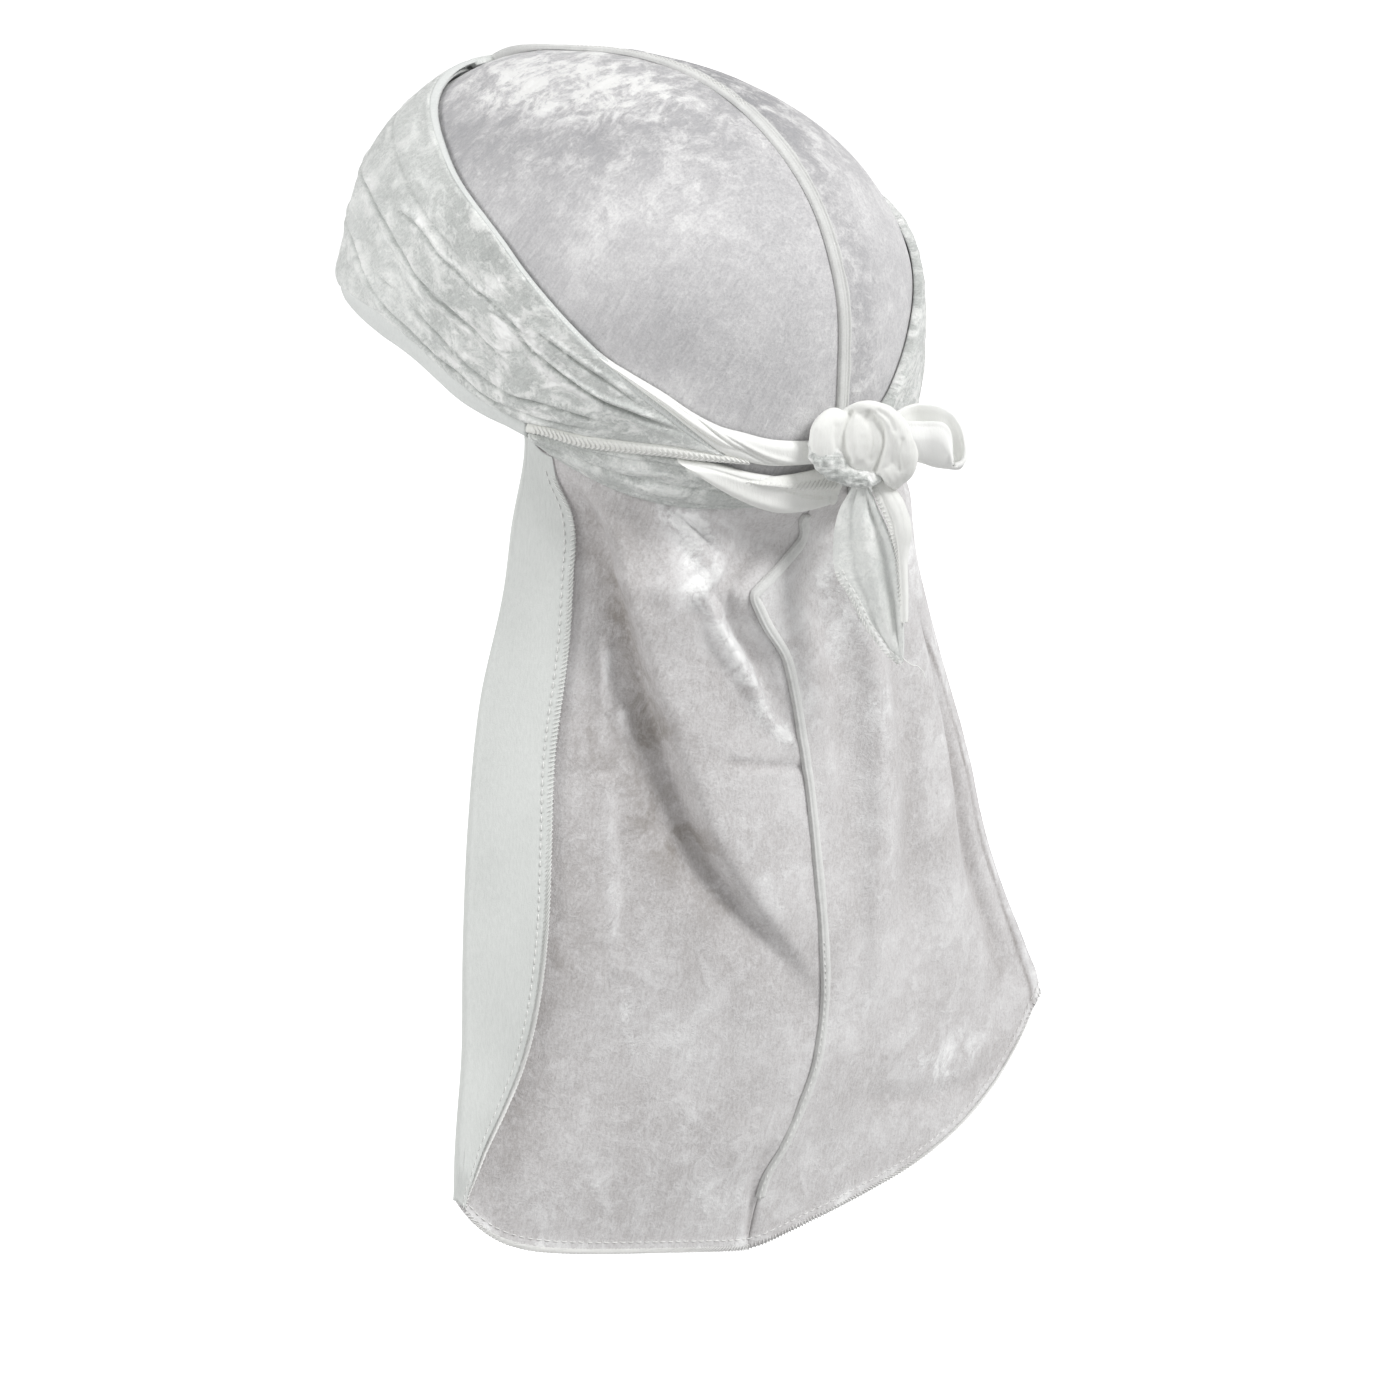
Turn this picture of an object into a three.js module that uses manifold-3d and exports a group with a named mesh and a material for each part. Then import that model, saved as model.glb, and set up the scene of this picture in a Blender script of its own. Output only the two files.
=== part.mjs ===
// Durag in crushed velvet: a sewn crown, two straps wrapped round it and knotted at the nape, and a tail.
// Millimetres, +Z up. The face looks along -Y, the wearer's left is +X and the tail hangs at +Y.
// The origin is the inside of the crown's apex. The code works from the head's centre below it.
import * as THREE from 'three';
import { mergeVertices } from 'three/addons/utils/BufferGeometryUtils.js';
import Module from 'manifold-3d';

const wasm = await Module();
wasm.setup();

// Head that the crown fits, as the crown's inside
const HEAD_HALF_WIDTH = 73.5;
const HEAD_HALF_LENGTH = 100;
const CROWN_HEIGHT = 76;
const NAPE_CURVE = 120; // half height of the curve under the widest line
const HEAD_SQUARENESS = 2.18; // exponent of the rounded sections, 2 is an ellipse
const BACK_FULLNESS = 0.028; // how much wider the back is than the front
const TOP_TAPER = 0.29; // how much narrower the top is than the sides

// Cloth
const CLOTH = 1.5; // velvet wall
const CLEARANCE = 0.7; // free space between pieces that lie on each other
const JOIN_GAP = 0.4; // free space between the edges of pieces that are sewn together

// Straps wound round the crown
const WRAP_THICKNESS = 2.4; // folded strap where it lies flat
const PLEAT_RISE = 2; // how far a pleat stands above the flat strap
const STRAND_THICKNESS = 3.2;
const UNDER_WRAP_THICKNESS = 3.4;
const STRAND_ROUND = 0.9; // how far a strand's middle stands above its flat form
const HEM_THICKNESS = 1.9;

// Raised seams
const CROWN_SEAM_WIDTH = 7;
const CROWN_SEAM_RISE = 2.6;
const TAIL_SEAM_WIDTH = 5;
const TAIL_SEAM_RISE = 2.2;

// Tail
const TAIL_DROP = 256; // from the nape join to the lowest point of the hem
const TAIL_HALF_WIDTH = 122;
const TAIL_FOLD = 7; // height of the deepest hanging fold
const CUFF_WIDTH = 27; // widest part of the turned-out left edge
const CUFF_BEND = 1.6; // radius of the bend at the turned edge, to the middle of the cloth

// Knot, bow loop and strap ends
const KNOT_WIDTH = 44;
const KNOT_HEIGHT = 27;
const KNOT_DEPTH = 22;
const LOOP_LENGTH = 36;
const LOOP_DEPTH = 10;
const STRAP_FOLDED_WIDTH = 14.5;
const END_DROP = 57;
const END_WIDTH = 26;

// Steps of the faceted surfaces
const CROWN_STEP = 7.5;
const STRAP_STEP = 6.5;
const CROWN_ROWS = 8;
const TAIL_ROWS = 17;
const TAIL_COLUMNS = 13;
const CUFF_BEND_STEPS = 4;
const CUFF_COLUMNS = 3;

// Colours
const VELVET = { color: 0xd8d5d6, roughness: 0.62, metalness: 0 };
const KNIT = { color: 0xeeeee8, roughness: 0.88, metalness: 0 };
const HEM_KNIT = { color: 0xe4e4e2, roughness: 0.85, metalness: 0 };

// Bearings run from the front (0) to the wearer's left (90) and on to the back (180).
// Heights on the head are angles above or below its widest line, in degrees.

// Lower edge of the front hem, alike on both sides
const HEM_LINE = [
  { bearing: 0, low: -4.4 },
  { bearing: 36, low: -4.0 },
  { bearing: 60, low: -4.6 },
  { bearing: 70, low: -6.6 },
  { bearing: 82, low: -9.8 },
  { bearing: 92, low: -13.2 },
  { bearing: 101, low: -16.2 },
  { bearing: 108, low: -17.8 },
  { bearing: 117, low: -19.8 },
];

// Line where the crown is sewn to the tail, hidden by the lower strap
const NAPE_LINE = [
  { bearing: 117, low: -19.8 },
  { bearing: 121, low: -22.9 },
  { bearing: 131, low: -23.6 },
  { bearing: 138, low: -24.4 },
  { bearing: 146, low: -25.2 },
  { bearing: 180, low: -25.4 },
];

// Wide strap on the left, from its crossing over the forehead to its tip near the knot
const WRAP_LEFT = [
  { bearing: -58, high: -0.2, low: -1.0 },
  { bearing: -42, high: 11.0, low: -1.0 },
  { bearing: -26, high: 23.0, low: -1.0 },
  { bearing: -12, high: 33.4, low: -1.0 },
  { bearing: 0, high: 41.4, low: -1.0 },
  { bearing: 12, high: 45.4, low: -0.9 },
  { bearing: 22, high: 45.6, low: -0.7 },
  { bearing: 35, high: 44.4, low: -0.6 },
  { bearing: 52, high: 42.4, low: -0.8 },
  { bearing: 66, high: 39.6, low: -2.2 },
  { bearing: 82, high: 34.6, low: -6.4 },
  { bearing: 97, high: 28.4, low: -11.3 },
  { bearing: 108, high: 22.0, low: -14.4 },
  { bearing: 116, high: 15.6, low: -16.2 },
  { bearing: 123, high: 9.6, low: -17.0 },
  { bearing: 134, high: 0.2, low: -17.8 },
  { bearing: 143, high: -8.5, low: -18.3 },
  { bearing: 149, high: -13.3, low: -18.4 },
  { bearing: 157, high: -17.0, low: -18.5 },
];

// Wide strap on the right, from under the crossing, which stays full until it meets the knot
const WRAP_RIGHT = [
  { bearing: -10, high: 47.4, low: 46.2 },
  { bearing: 0, high: 47.6, low: 42.6 },
  { bearing: 12, high: 47.0, low: 34.6 },
  { bearing: 26, high: 46.0, low: 24.2 },
  { bearing: 42, high: 44.0, low: 12.2 },
  { bearing: 58, high: 41.8, low: 0.8 },
  { bearing: 66, high: 40.4, low: -2.2 },
  { bearing: 82, high: 36.8, low: -6.4 },
  { bearing: 97, high: 33.0, low: -11.3 },
  { bearing: 108, high: 30.0, low: -14.4 },
  { bearing: 116, high: 27.6, low: -16.2 },
  { bearing: 130, high: 22.0, low: -17.5 },
  { bearing: 142, high: 15.0, low: -18.2 },
  { bearing: 150, high: 9.0, low: -18.4 },
  { bearing: 157, high: 1.5, low: -18.6 },
  { bearing: 163, high: -5.5, low: -19.6 },
  { bearing: 169, high: -11.6, low: -20.4 },
  { bearing: 178, high: -16.5, low: -20.6 },
];

// Strand that leaves the left strap's upper edge and runs to the knot
const UPPER_STRAND = [
  { bearing: 136, high: -0.5, low: -1.3 },
  { bearing: 140, high: -3.2, low: -5.1 },
  { bearing: 143, high: -5.2, low: -7.9 },
  { bearing: 147, high: -7.6, low: -11.2 },
  { bearing: 151, high: -10.2, low: -13.9 },
  { bearing: 155, high: -12.6, low: -15.6 },
  { bearing: 160, high: -14.0, low: -18.7 },
  { bearing: 166, high: -15.3, low: -19.9 },
  { bearing: 178, high: -16.5, low: -20.5 },
];

// Lower strap, from the ear under the nape to the knot, alike on both sides
const UNDER_WRAP = [
  { bearing: 117.6, high: -17.4, low: -20.2 },
  { bearing: 123, high: -17.9, low: -22.7 },
  { bearing: 131, high: -18.5, low: -25.2 },
  { bearing: 138, high: -19.0, low: -27.0 },
  { bearing: 145, high: -19.2, low: -27.8 },
  { bearing: 153, high: -19.2, low: -27.7 },
  { bearing: 158, high: -19.6, low: -27.4 },
  { bearing: 165, high: -20.8, low: -27.4 },
  { bearing: 171, high: -21.1, low: -28.1 },
  { bearing: 178.5, high: -21.2, low: -27.6 },
];

// Pleats of a wide strap: where each runs across the strap, as a share up from its lower edge
const PLEATS = [
  { front: 0.23, middle: 0.12, back: 0.1, rise: 0.9 },
  { front: 0.37, middle: 0.28, back: 0.24, rise: 0.7 },
  { front: 0.51, middle: 0.45, back: 0.38, rise: 1.0 },
  { front: 0.65, middle: 0.64, back: 0.56, rise: 1.0 },
  { front: 0.8, middle: 0.79, back: 0.76, rise: 0.6 },
  { front: 0.95, middle: 0.95, back: 0.94, rise: 0.9 },
];

// Tail seam: its way to the side as a share of the head's half width, its distance behind the
// head's centre as a share of the head's half length, at shares of the tail's drop
const TAIL_SEAM = [
  { drop: 0, side: 0, behind: 0.92 },
  { drop: 0.04, side: 0.02, behind: 0.86 },
  { drop: 0.08, side: 0.06, behind: 0.86 },
  { drop: 0.118, side: 0.28, behind: 0.89 },
  { drop: 0.15, side: 0.3, behind: 0.9 },
  { drop: 0.19, side: 0.21, behind: 0.9 },
  { drop: 0.29, side: 0.09, behind: 0.9 },
  { drop: 0.44, side: 0, behind: 0.9 },
  { drop: 0.62, side: -0.08, behind: 0.9 },
  { drop: 0.75, side: -0.04, behind: 0.88 },
  { drop: 0.855, side: 0.085, behind: 0.84 },
  { drop: 0.9, side: 0.19, behind: 0.81 },
  { drop: 1, side: 0.19, behind: 0.76 },
];

// Side edges of the tail: spread from the head's half width (0) to the tail's half width (1),
// distance behind as a share of the head's half length, rise above the seam as a share of the
// drop, and the elbow of the section between seam and edge as shares of the edge's two distances
const TAIL_EDGE_LEFT = [
  { drop: 0, spread: 0, behind: 0.42, rise: 0.05, elbowSide: 0.85, elbowBehind: 0.9 },
  { drop: 0.06, spread: 0.03, behind: 0.34, rise: 0.045, elbowSide: 0.84, elbowBehind: 0.84 },
  { drop: 0.15, spread: 0.12, behind: 0.3, rise: 0.025, elbowSide: 0.83, elbowBehind: 0.8 },
  { drop: 0.3, spread: 0.28, behind: 0.32, rise: 0.034, elbowSide: 0.71, elbowBehind: 0.86 },
  { drop: 0.45, spread: 0.48, behind: 0.38, rise: 0.043, elbowSide: 0.66, elbowBehind: 0.9 },
  { drop: 0.6, spread: 0.65, behind: 0.44, rise: 0.053, elbowSide: 0.63, elbowBehind: 0.92 },
  { drop: 0.75, spread: 0.77, behind: 0.49, rise: 0.078, elbowSide: 0.58, elbowBehind: 0.88 },
  { drop: 0.88, spread: 0.887, behind: 0.53, rise: 0.11, elbowSide: 0.53, elbowBehind: 0.83 },
  { drop: 1, spread: 0.94, behind: 0.555, rise: 0.156, elbowSide: 0.5, elbowBehind: 0.75 },
];
const TAIL_EDGE_RIGHT = [
  { drop: 0, spread: 0, behind: 0.42, rise: 0.05, elbowSide: 0.85, elbowBehind: 0.9 },
  { drop: 0.06, spread: -0.07, behind: 0.55, rise: 0.03, elbowSide: 0.62, elbowBehind: 0.93 },
  { drop: 0.15, spread: -0.11, behind: 0.62, rise: 0, elbowSide: 0.51, elbowBehind: 0.96 },
  { drop: 0.3, spread: 0.11, behind: 0.63, rise: 0.01, elbowSide: 0.57, elbowBehind: 0.93 },
  { drop: 0.45, spread: 0.36, behind: 0.64, rise: 0.024, elbowSide: 0.54, elbowBehind: 0.92 },
  { drop: 0.6, spread: 0.55, behind: 0.655, rise: 0.037, elbowSide: 0.5, elbowBehind: 0.9 },
  { drop: 0.75, spread: 0.77, behind: 0.665, rise: 0.09, elbowSide: 0.49, elbowBehind: 0.87 },
  { drop: 0.88, spread: 0.95, behind: 0.67, rise: 0.152, elbowSide: 0.48, elbowBehind: 0.82 },
  { drop: 1, spread: 1.06, behind: 0.68, rise: 0.21, elbowSide: 0.48, elbowBehind: 0.78 },
];

// How the hem rises from the seam to a corner: the steady part, and the power of the round rest
const CORNERS = {
  left: { steady: 0.55, power: 12 },
  right: { steady: 0.3, power: 6 },
};

// Hanging folds: from a place near the straps to a place below, each given by its share of the
// drop and its share across (1 left edge, 0 seam, -1 right edge). Height is a share of TAIL_FOLD.
const TAIL_FOLDS = [
  { top: 0.04, acrossTop: 0.78, foot: 0.6, acrossFoot: 0.28, width: 0.15, height: -1 },
  { top: 0.04, acrossTop: 0.46, foot: 0.7, acrossFoot: 0.08, width: 0.16, height: 0.8 },
  { top: 0.04, acrossTop: -0.24, foot: 0.62, acrossFoot: -0.2, width: 0.08, height: -0.45 },
  { top: 0.04, acrossTop: -0.44, foot: 0.66, acrossFoot: -0.42, width: 0.1, height: 0.45 },
  { top: 0.1, acrossTop: -0.8, foot: 0.95, acrossFoot: -0.86, width: 0.09, height: -0.4 },
];

// Width of the turned-out left edge as a share of CUFF_WIDTH, and how far it is turned, in degrees
const CUFF = [
  { drop: 0, width: 0.14, turn: 30 },
  { drop: 0.025, width: 0.2, turn: 55 },
  { drop: 0.05, width: 0.42, turn: 140 },
  { drop: 0.09, width: 0.62, turn: 178 },
  { drop: 0.14, width: 0.74, turn: 180 },
  { drop: 0.3, width: 0.86, turn: 180 },
  { drop: 0.5, width: 1, turn: 180 },
  { drop: 0.68, width: 0.92, turn: 180 },
  { drop: 0.8, width: 0.66, turn: 180 },
  { drop: 0.9, width: 0.38, turn: 180 },
  { drop: 1, width: 0.12, turn: 180 },
];

// Lobes of the knot: place and half sizes as shares of its width, depth and height, from the
// middle of its back face. Side is to the wearer's left, lean turns a lobe in its own plane.
const KNOT_LOBES = [
  { side: 0, out: 0.28, up: 0, halfSide: 0.36, halfOut: 0.32, halfUp: 0.36, lean: 0 },
  { side: 0.29, out: 0.34, up: 0.1, halfSide: 0.19, halfOut: 0.34, halfUp: 0.37, lean: 12 },
  { side: 0.1, out: 0.62, up: 0.08, halfSide: 0.15, halfOut: 0.36, halfUp: 0.38, lean: -6 },
  { side: -0.12, out: 0.5, up: 0.14, halfSide: 0.2, halfOut: 0.4, halfUp: 0.32, lean: -35 },
  { side: -0.31, out: 0.4, up: -0.1, halfSide: 0.18, halfOut: 0.38, halfUp: 0.4, lean: -20 },
  { side: 0.12, out: 0.38, up: -0.34, halfSide: 0.25, halfOut: 0.34, halfUp: 0.17, lean: 8 },
];
const KNOT_SIDE = -0.03; // the knot's middle as a share of the head's half width
const KNOT_HEIGHT_ANGLE = -16.4; // the knot's middle on the head

// Bow loop seen from above: shares of its length to the side and of its depth behind the knot
const LOOP_PATH = [
  { side: 0.1, behind: 0.2 },
  { side: 0.35, behind: 0.42 },
  { side: 0.7, behind: 0.5 },
  { side: 0.93, behind: 0.3 },
  { side: 1, behind: -0.05 },
  { side: 0.92, behind: -0.4 },
  { side: 0.68, behind: -0.52 },
  { side: 0.35, behind: -0.5 },
  { side: 0.05, behind: -0.45 },
];
const LOOP_LEAN = 0.24; // how far the loop's lower edge leans outwards, per unit of its width

// Strap ends below the knot: middle and width as shares of END_WIDTH, forward as a share too
const END_FRONT = [
  { drop: 0, side: 0.02, width: 0.42, behind: 0.1 },
  { drop: 0.22, side: -0.1, width: 0.8, behind: 0.14 },
  { drop: 0.4, side: -0.2, width: 1, behind: 0.12 },
  { drop: 0.6, side: -0.34, width: 0.96, behind: 0.08 },
  { drop: 0.8, side: -0.56, width: 0.66, behind: 0.04 },
  { drop: 0.92, side: -0.7, width: 0.4, behind: 0.02 },
  { drop: 1, side: -0.8, width: 0.1, behind: 0 },
];
const END_REAR = [
  { drop: 0, side: -0.44, width: 0.3, behind: -0.04 },
  { drop: 0.2, side: -0.72, width: 0.36, behind: -0.1 },
  { drop: 0.4, side: -0.98, width: 0.36, behind: -0.17 },
  { drop: 0.6, side: -1.1, width: 0.3, behind: -0.22 },
  { drop: 0.78, side: -1.12, width: 0.2, behind: -0.25 },
];

const radians = THREE.MathUtils.degToRad;
const smooth = (low, high, value) => THREE.MathUtils.smoothstep(value, low, high);
const mix = THREE.MathUtils.lerp;

// A column of a table at a key, on a smooth curve through the rows
function lookup(rows, key, value, column) {
  let i = 0;
  while (i < rows.length - 2 && value > rows[i + 1][key]) i += 1;
  const at = (n) => rows[Math.min(Math.max(n, 0), rows.length - 1)];
  const slope = (n) => {
    const before = at(n - 1);
    const after = at(n + 1);
    return (after[column] - before[column]) / (after[key] - before[key]);
  };
  const span = at(i + 1)[key] - at(i)[key];
  const t = THREE.MathUtils.clamp((value - at(i)[key]) / span, 0, 1);
  const t2 = t * t;
  const t3 = t2 * t;
  return at(i)[column] * (2 * t3 - 3 * t2 + 1) + at(i + 1)[column] * (3 * t2 - 2 * t3)
    + span * (slope(i) * (t3 - 2 * t2 + t) + slope(i + 1) * (t3 - t2));
}

// A point on the head, a distance outside the crown's inside
function headPoint(bearing, height, outside) {
  const b = radians(bearing);
  const h = radians(height);
  const way = new THREE.Vector3(Math.sin(b) * Math.cos(h), -Math.cos(b) * Math.cos(h), Math.sin(h));
  const taper = 1 - TOP_TAPER * Math.max(way.z, 0) ** 2;
  const halfWidth = (HEAD_HALF_WIDTH + outside) * (1 + BACK_FULLNESS * way.y) * taper;
  const halfHeight = way.z > 0 ? CROWN_HEIGHT + outside : NAPE_CURVE;
  const sum = Math.abs(way.x / halfWidth) ** HEAD_SQUARENESS
    + Math.abs(way.y / (HEAD_HALF_LENGTH + outside)) ** HEAD_SQUARENESS
    + Math.abs(way.z / halfHeight) ** HEAD_SQUARENESS;
  return way.divideScalar(sum ** (1 / HEAD_SQUARENESS));
}

// A closed body between two grids of points of the same size
function closedSheet(outer, inner) {
  const rows = outer.length;
  const columns = outer[0].length;
  const positions = [];
  const triangle = (a, b, c) => {
    const flat = a.distanceTo(b) < 1e-5 || b.distanceTo(c) < 1e-5 || c.distanceTo(a) < 1e-5;
    if (!flat) [a, b, c].forEach((p) => positions.push(p.x, p.y, p.z));
  };
  const quad = (a, b, c, d) => {
    triangle(a, b, c);
    triangle(a, c, d);
  };
  for (let i = 0; i < rows - 1; i += 1) {
    for (let j = 0; j < columns - 1; j += 1) {
      quad(outer[i][j], outer[i + 1][j], outer[i + 1][j + 1], outer[i][j + 1]);
      quad(inner[i][j], inner[i][j + 1], inner[i + 1][j + 1], inner[i + 1][j]);
    }
  }
  for (let i = 0; i < rows - 1; i += 1) {
    quad(inner[i][0], inner[i + 1][0], outer[i + 1][0], outer[i][0]);
    const e = columns - 1;
    quad(outer[i][e], outer[i + 1][e], inner[i + 1][e], inner[i][e]);
  }
  for (let j = 0; j < columns - 1; j += 1) {
    quad(outer[0][j], outer[0][j + 1], inner[0][j + 1], inner[0][j]);
    const e = rows - 1;
    quad(inner[e][j], inner[e][j + 1], outer[e][j + 1], outer[e][j]);
  }
  const geometry = new THREE.BufferGeometry();
  geometry.setAttribute('position', new THREE.Float32BufferAttribute(positions, 3));
  return outward(mergeVertices(geometry, 1e-4));
}

// The same body with its faces pointing out
function outward(geometry) {
  const p = geometry.getAttribute('position');
  const index = geometry.getIndex();
  const [a, b, c] = [new THREE.Vector3(), new THREE.Vector3(), new THREE.Vector3()];
  let volume = 0;
  for (let i = 0; i < index.count; i += 3) {
    a.fromBufferAttribute(p, index.getX(i));
    b.fromBufferAttribute(p, index.getX(i + 1));
    c.fromBufferAttribute(p, index.getX(i + 2));
    volume += a.dot(b.cross(c));
  }
  if (volume < 0) {
    for (let i = 0; i < index.count; i += 3) {
      const second = index.getX(i + 1);
      index.setX(i + 1, index.getX(i + 2));
      index.setX(i + 2, second);
    }
  }
  return geometry;
}

// Directions across a grid of points at each of its points
function gridNormals(grid) {
  const rows = grid.length;
  const columns = grid[0].length;
  return grid.map((row, i) => row.map((point, j) => {
    const along = grid[Math.min(i + 1, rows - 1)][j].clone().sub(grid[Math.max(i - 1, 0)][j]);
    const across = row[Math.min(j + 1, columns - 1)].clone().sub(row[Math.max(j - 1, 0)]);
    return along.cross(across).normalize();
  }));
}

// A cloth of even wall round a grid of its middle points
function clothSheet(middle, wall) {
  const normals = gridNormals(middle);
  const shifted = (amount) => middle.map((row, i) => row.map(
    (point, j) => point.clone().addScaledVector(normals[i][j], amount)));
  return closedSheet(shifted(wall / 2), shifted(-wall / 2));
}

function bearingsBetween(from, to, step) {
  const steps = Math.ceil((to - from) / step);
  return Array.from({ length: steps + 1 }, (_, i) => mix(from, to, i / steps));
}

function mirrored(geometry) {
  geometry.applyMatrix4(new THREE.Matrix4().makeScale(-1, 1, 1));
  return outward(geometry);
}

function solidOf(geometry) {
  const bare = new THREE.BufferGeometry();
  bare.setAttribute('position', geometry.getAttribute('position').clone());
  if (geometry.getIndex()) bare.setIndex(geometry.getIndex().clone());
  const merged = mergeVertices(bare, 1e-4);
  return new wasm.Manifold(new wasm.Mesh({
    numProp: 3,
    vertProperties: new Float32Array(merged.getAttribute('position').array),
    triVerts: new Uint32Array(merged.getIndex().array),
  }));
}

function geometryOf(solid) {
  const mesh = solid.getMesh();
  const geometry = new THREE.BufferGeometry();
  geometry.setAttribute('position', new THREE.BufferAttribute(mesh.vertProperties, 3));
  geometry.setIndex(new THREE.BufferAttribute(mesh.triVerts, 1));
  return geometry;
}

// Crown

// Lower edge of the crown at a bearing
function crownEdge(bearing) {
  if (bearing < HEM_LINE.at(-1).bearing) return lookup(HEM_LINE, 'bearing', bearing, 'low') + 0.6;
  return lookup(NAPE_LINE, 'bearing', bearing, 'low') + mix(0.6, 0.3, smooth(117, 124, bearing));
}

// The left half of the crown, a shell between its lower edge and the seam
function crownHalf() {
  const shell = (outside) => bearingsBetween(0, 180, CROWN_STEP).map((bearing) => {
    const low = crownEdge(bearing);
    return Array.from({ length: CROWN_ROWS + 1 }, (_, j) => {
      const point = headPoint(bearing, mix(low, 90, j / CROWN_ROWS), outside);
      point.x = Math.abs(point.x) + JOIN_GAP / 2;
      return point;
    });
  });
  return closedSheet(shell(CLOTH), shell(0));
}

// Raised seam over the crown, from the straps at the front to the knot
function crownSeam() {
  const start = lookup(WRAP_RIGHT, 'bearing', 0, 'high') + 1.4;
  const end = 180 + 14;
  const steps = 26;
  const section = [[-0.5, 0.25], [-0.36, 0.8], [0, 1], [0.36, 0.8], [0.5, 0.25]];
  const place = (turn, side, outside) => {
    const point = turn < 90 ? headPoint(0, turn, outside) : headPoint(180, 180 - turn, outside);
    point.x = side;
    return point;
  };
  const base = CLOTH + CLEARANCE;
  const rows = Array.from({ length: steps + 1 }, (_, i) => mix(start, end, i / steps));
  const outer = rows.map((turn) => section.map(
    ([side, rise]) => place(turn, side * CROWN_SEAM_WIDTH, base + rise * CROWN_SEAM_RISE)));
  const inner = rows.map((turn) => section.map(
    ([side]) => place(turn, side * CROWN_SEAM_WIDTH, base)));
  return closedSheet(outer, inner);
}

// Straps

// A strap that lies on the crown between the two edges of its table. Each of its lines runs along
// it at a share of its width, with a rise above the flat strap.
function strap(rows, thickness, linesAt) {
  const bearings = bearingsBetween(rows[0].bearing, rows.at(-1).bearing, STRAP_STEP);
  const surface = (outsideOf) => bearings.map((bearing) => {
    const low = lookup(rows, 'bearing', bearing, 'low');
    const high = lookup(rows, 'bearing', bearing, 'high');
    return linesAt(bearing, high - low).map(
      (line) => headPoint(bearing, mix(low, high, line.share), outsideOf(line)));
  });
  const base = CLOTH + CLEARANCE;
  const soft = (share) => 0.45 + 0.55 * Math.min(1, 6 * Math.min(share, 1 - share));
  const outer = surface((line) => base + thickness * soft(line.share) + line.rise);
  return closedSheet(outer, surface(() => base));
}

// Crests of a wide strap's pleats, with a line in the hollow between each two
function pleatLines(bearing, widthAngle) {
  const back = smooth(100, 140, bearing);
  const front = 1 - smooth(40, 90, bearing);
  const flatter = smooth(0, 22, widthAngle);
  const crests = PLEATS.map(({ front: f, middle: m, back: b, rise }) => ({
    share: m + front * (f - m) + back * (b - m),
    rise: rise * PLEAT_RISE * flatter,
  }));
  const lines = [{ share: 0, rise: 0 }];
  crests.forEach((crest, i) => {
    if (i > 0) lines.push({ share: (crest.share + crests[i - 1].share) / 2, rise: 0 });
    lines.push(crest);
  });
  return [...lines, { share: 1, rise: 0 }];
}

// Lines of a strand that is rounded over its width
function roundLines(count, rise) {
  const lines = Array.from({ length: count + 1 }, (_, i) => (
    { share: i / count, rise: rise * Math.sin(Math.PI * i / count) }));
  return () => lines;
}

function wrapLeft() {
  return strap(WRAP_LEFT, WRAP_THICKNESS, pleatLines);
}

function wrapRight() {
  return mirrored(strap(WRAP_RIGHT, WRAP_THICKNESS, pleatLines));
}

// Smooth strip along the front edge, from ear to ear below the wide straps
function frontHem() {
  const end = HEM_LINE.at(-1).bearing;
  const rows = bearingsBetween(-end, end, STRAP_STEP).map((bearing) => {
    const side = Math.abs(bearing);
    const above = lookup(WRAP_LEFT, 'bearing', side, 'low');
    const low = lookup(HEM_LINE, 'bearing', side, 'low');
    return { bearing, low, high: above - 0.6 - 0.6 * smooth(110, 117, side) };
  });
  return strap(rows, HEM_THICKNESS, roundLines(2, 0));
}

function upperStrand() {
  return strap(UPPER_STRAND, STRAND_THICKNESS, roundLines(4, STRAND_ROUND));
}

function underWrap() {
  return strap(UNDER_WRAP, UNDER_WRAP_THICKNESS, roundLines(5, STRAND_ROUND));
}

// Tail

function tailTop(bearing) {
  const gap = THREE.MathUtils.radToDeg(JOIN_GAP / HEAD_HALF_LENGTH);
  return lookup(NAPE_LINE, 'bearing', bearing, 'low') - gap;
}

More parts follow.
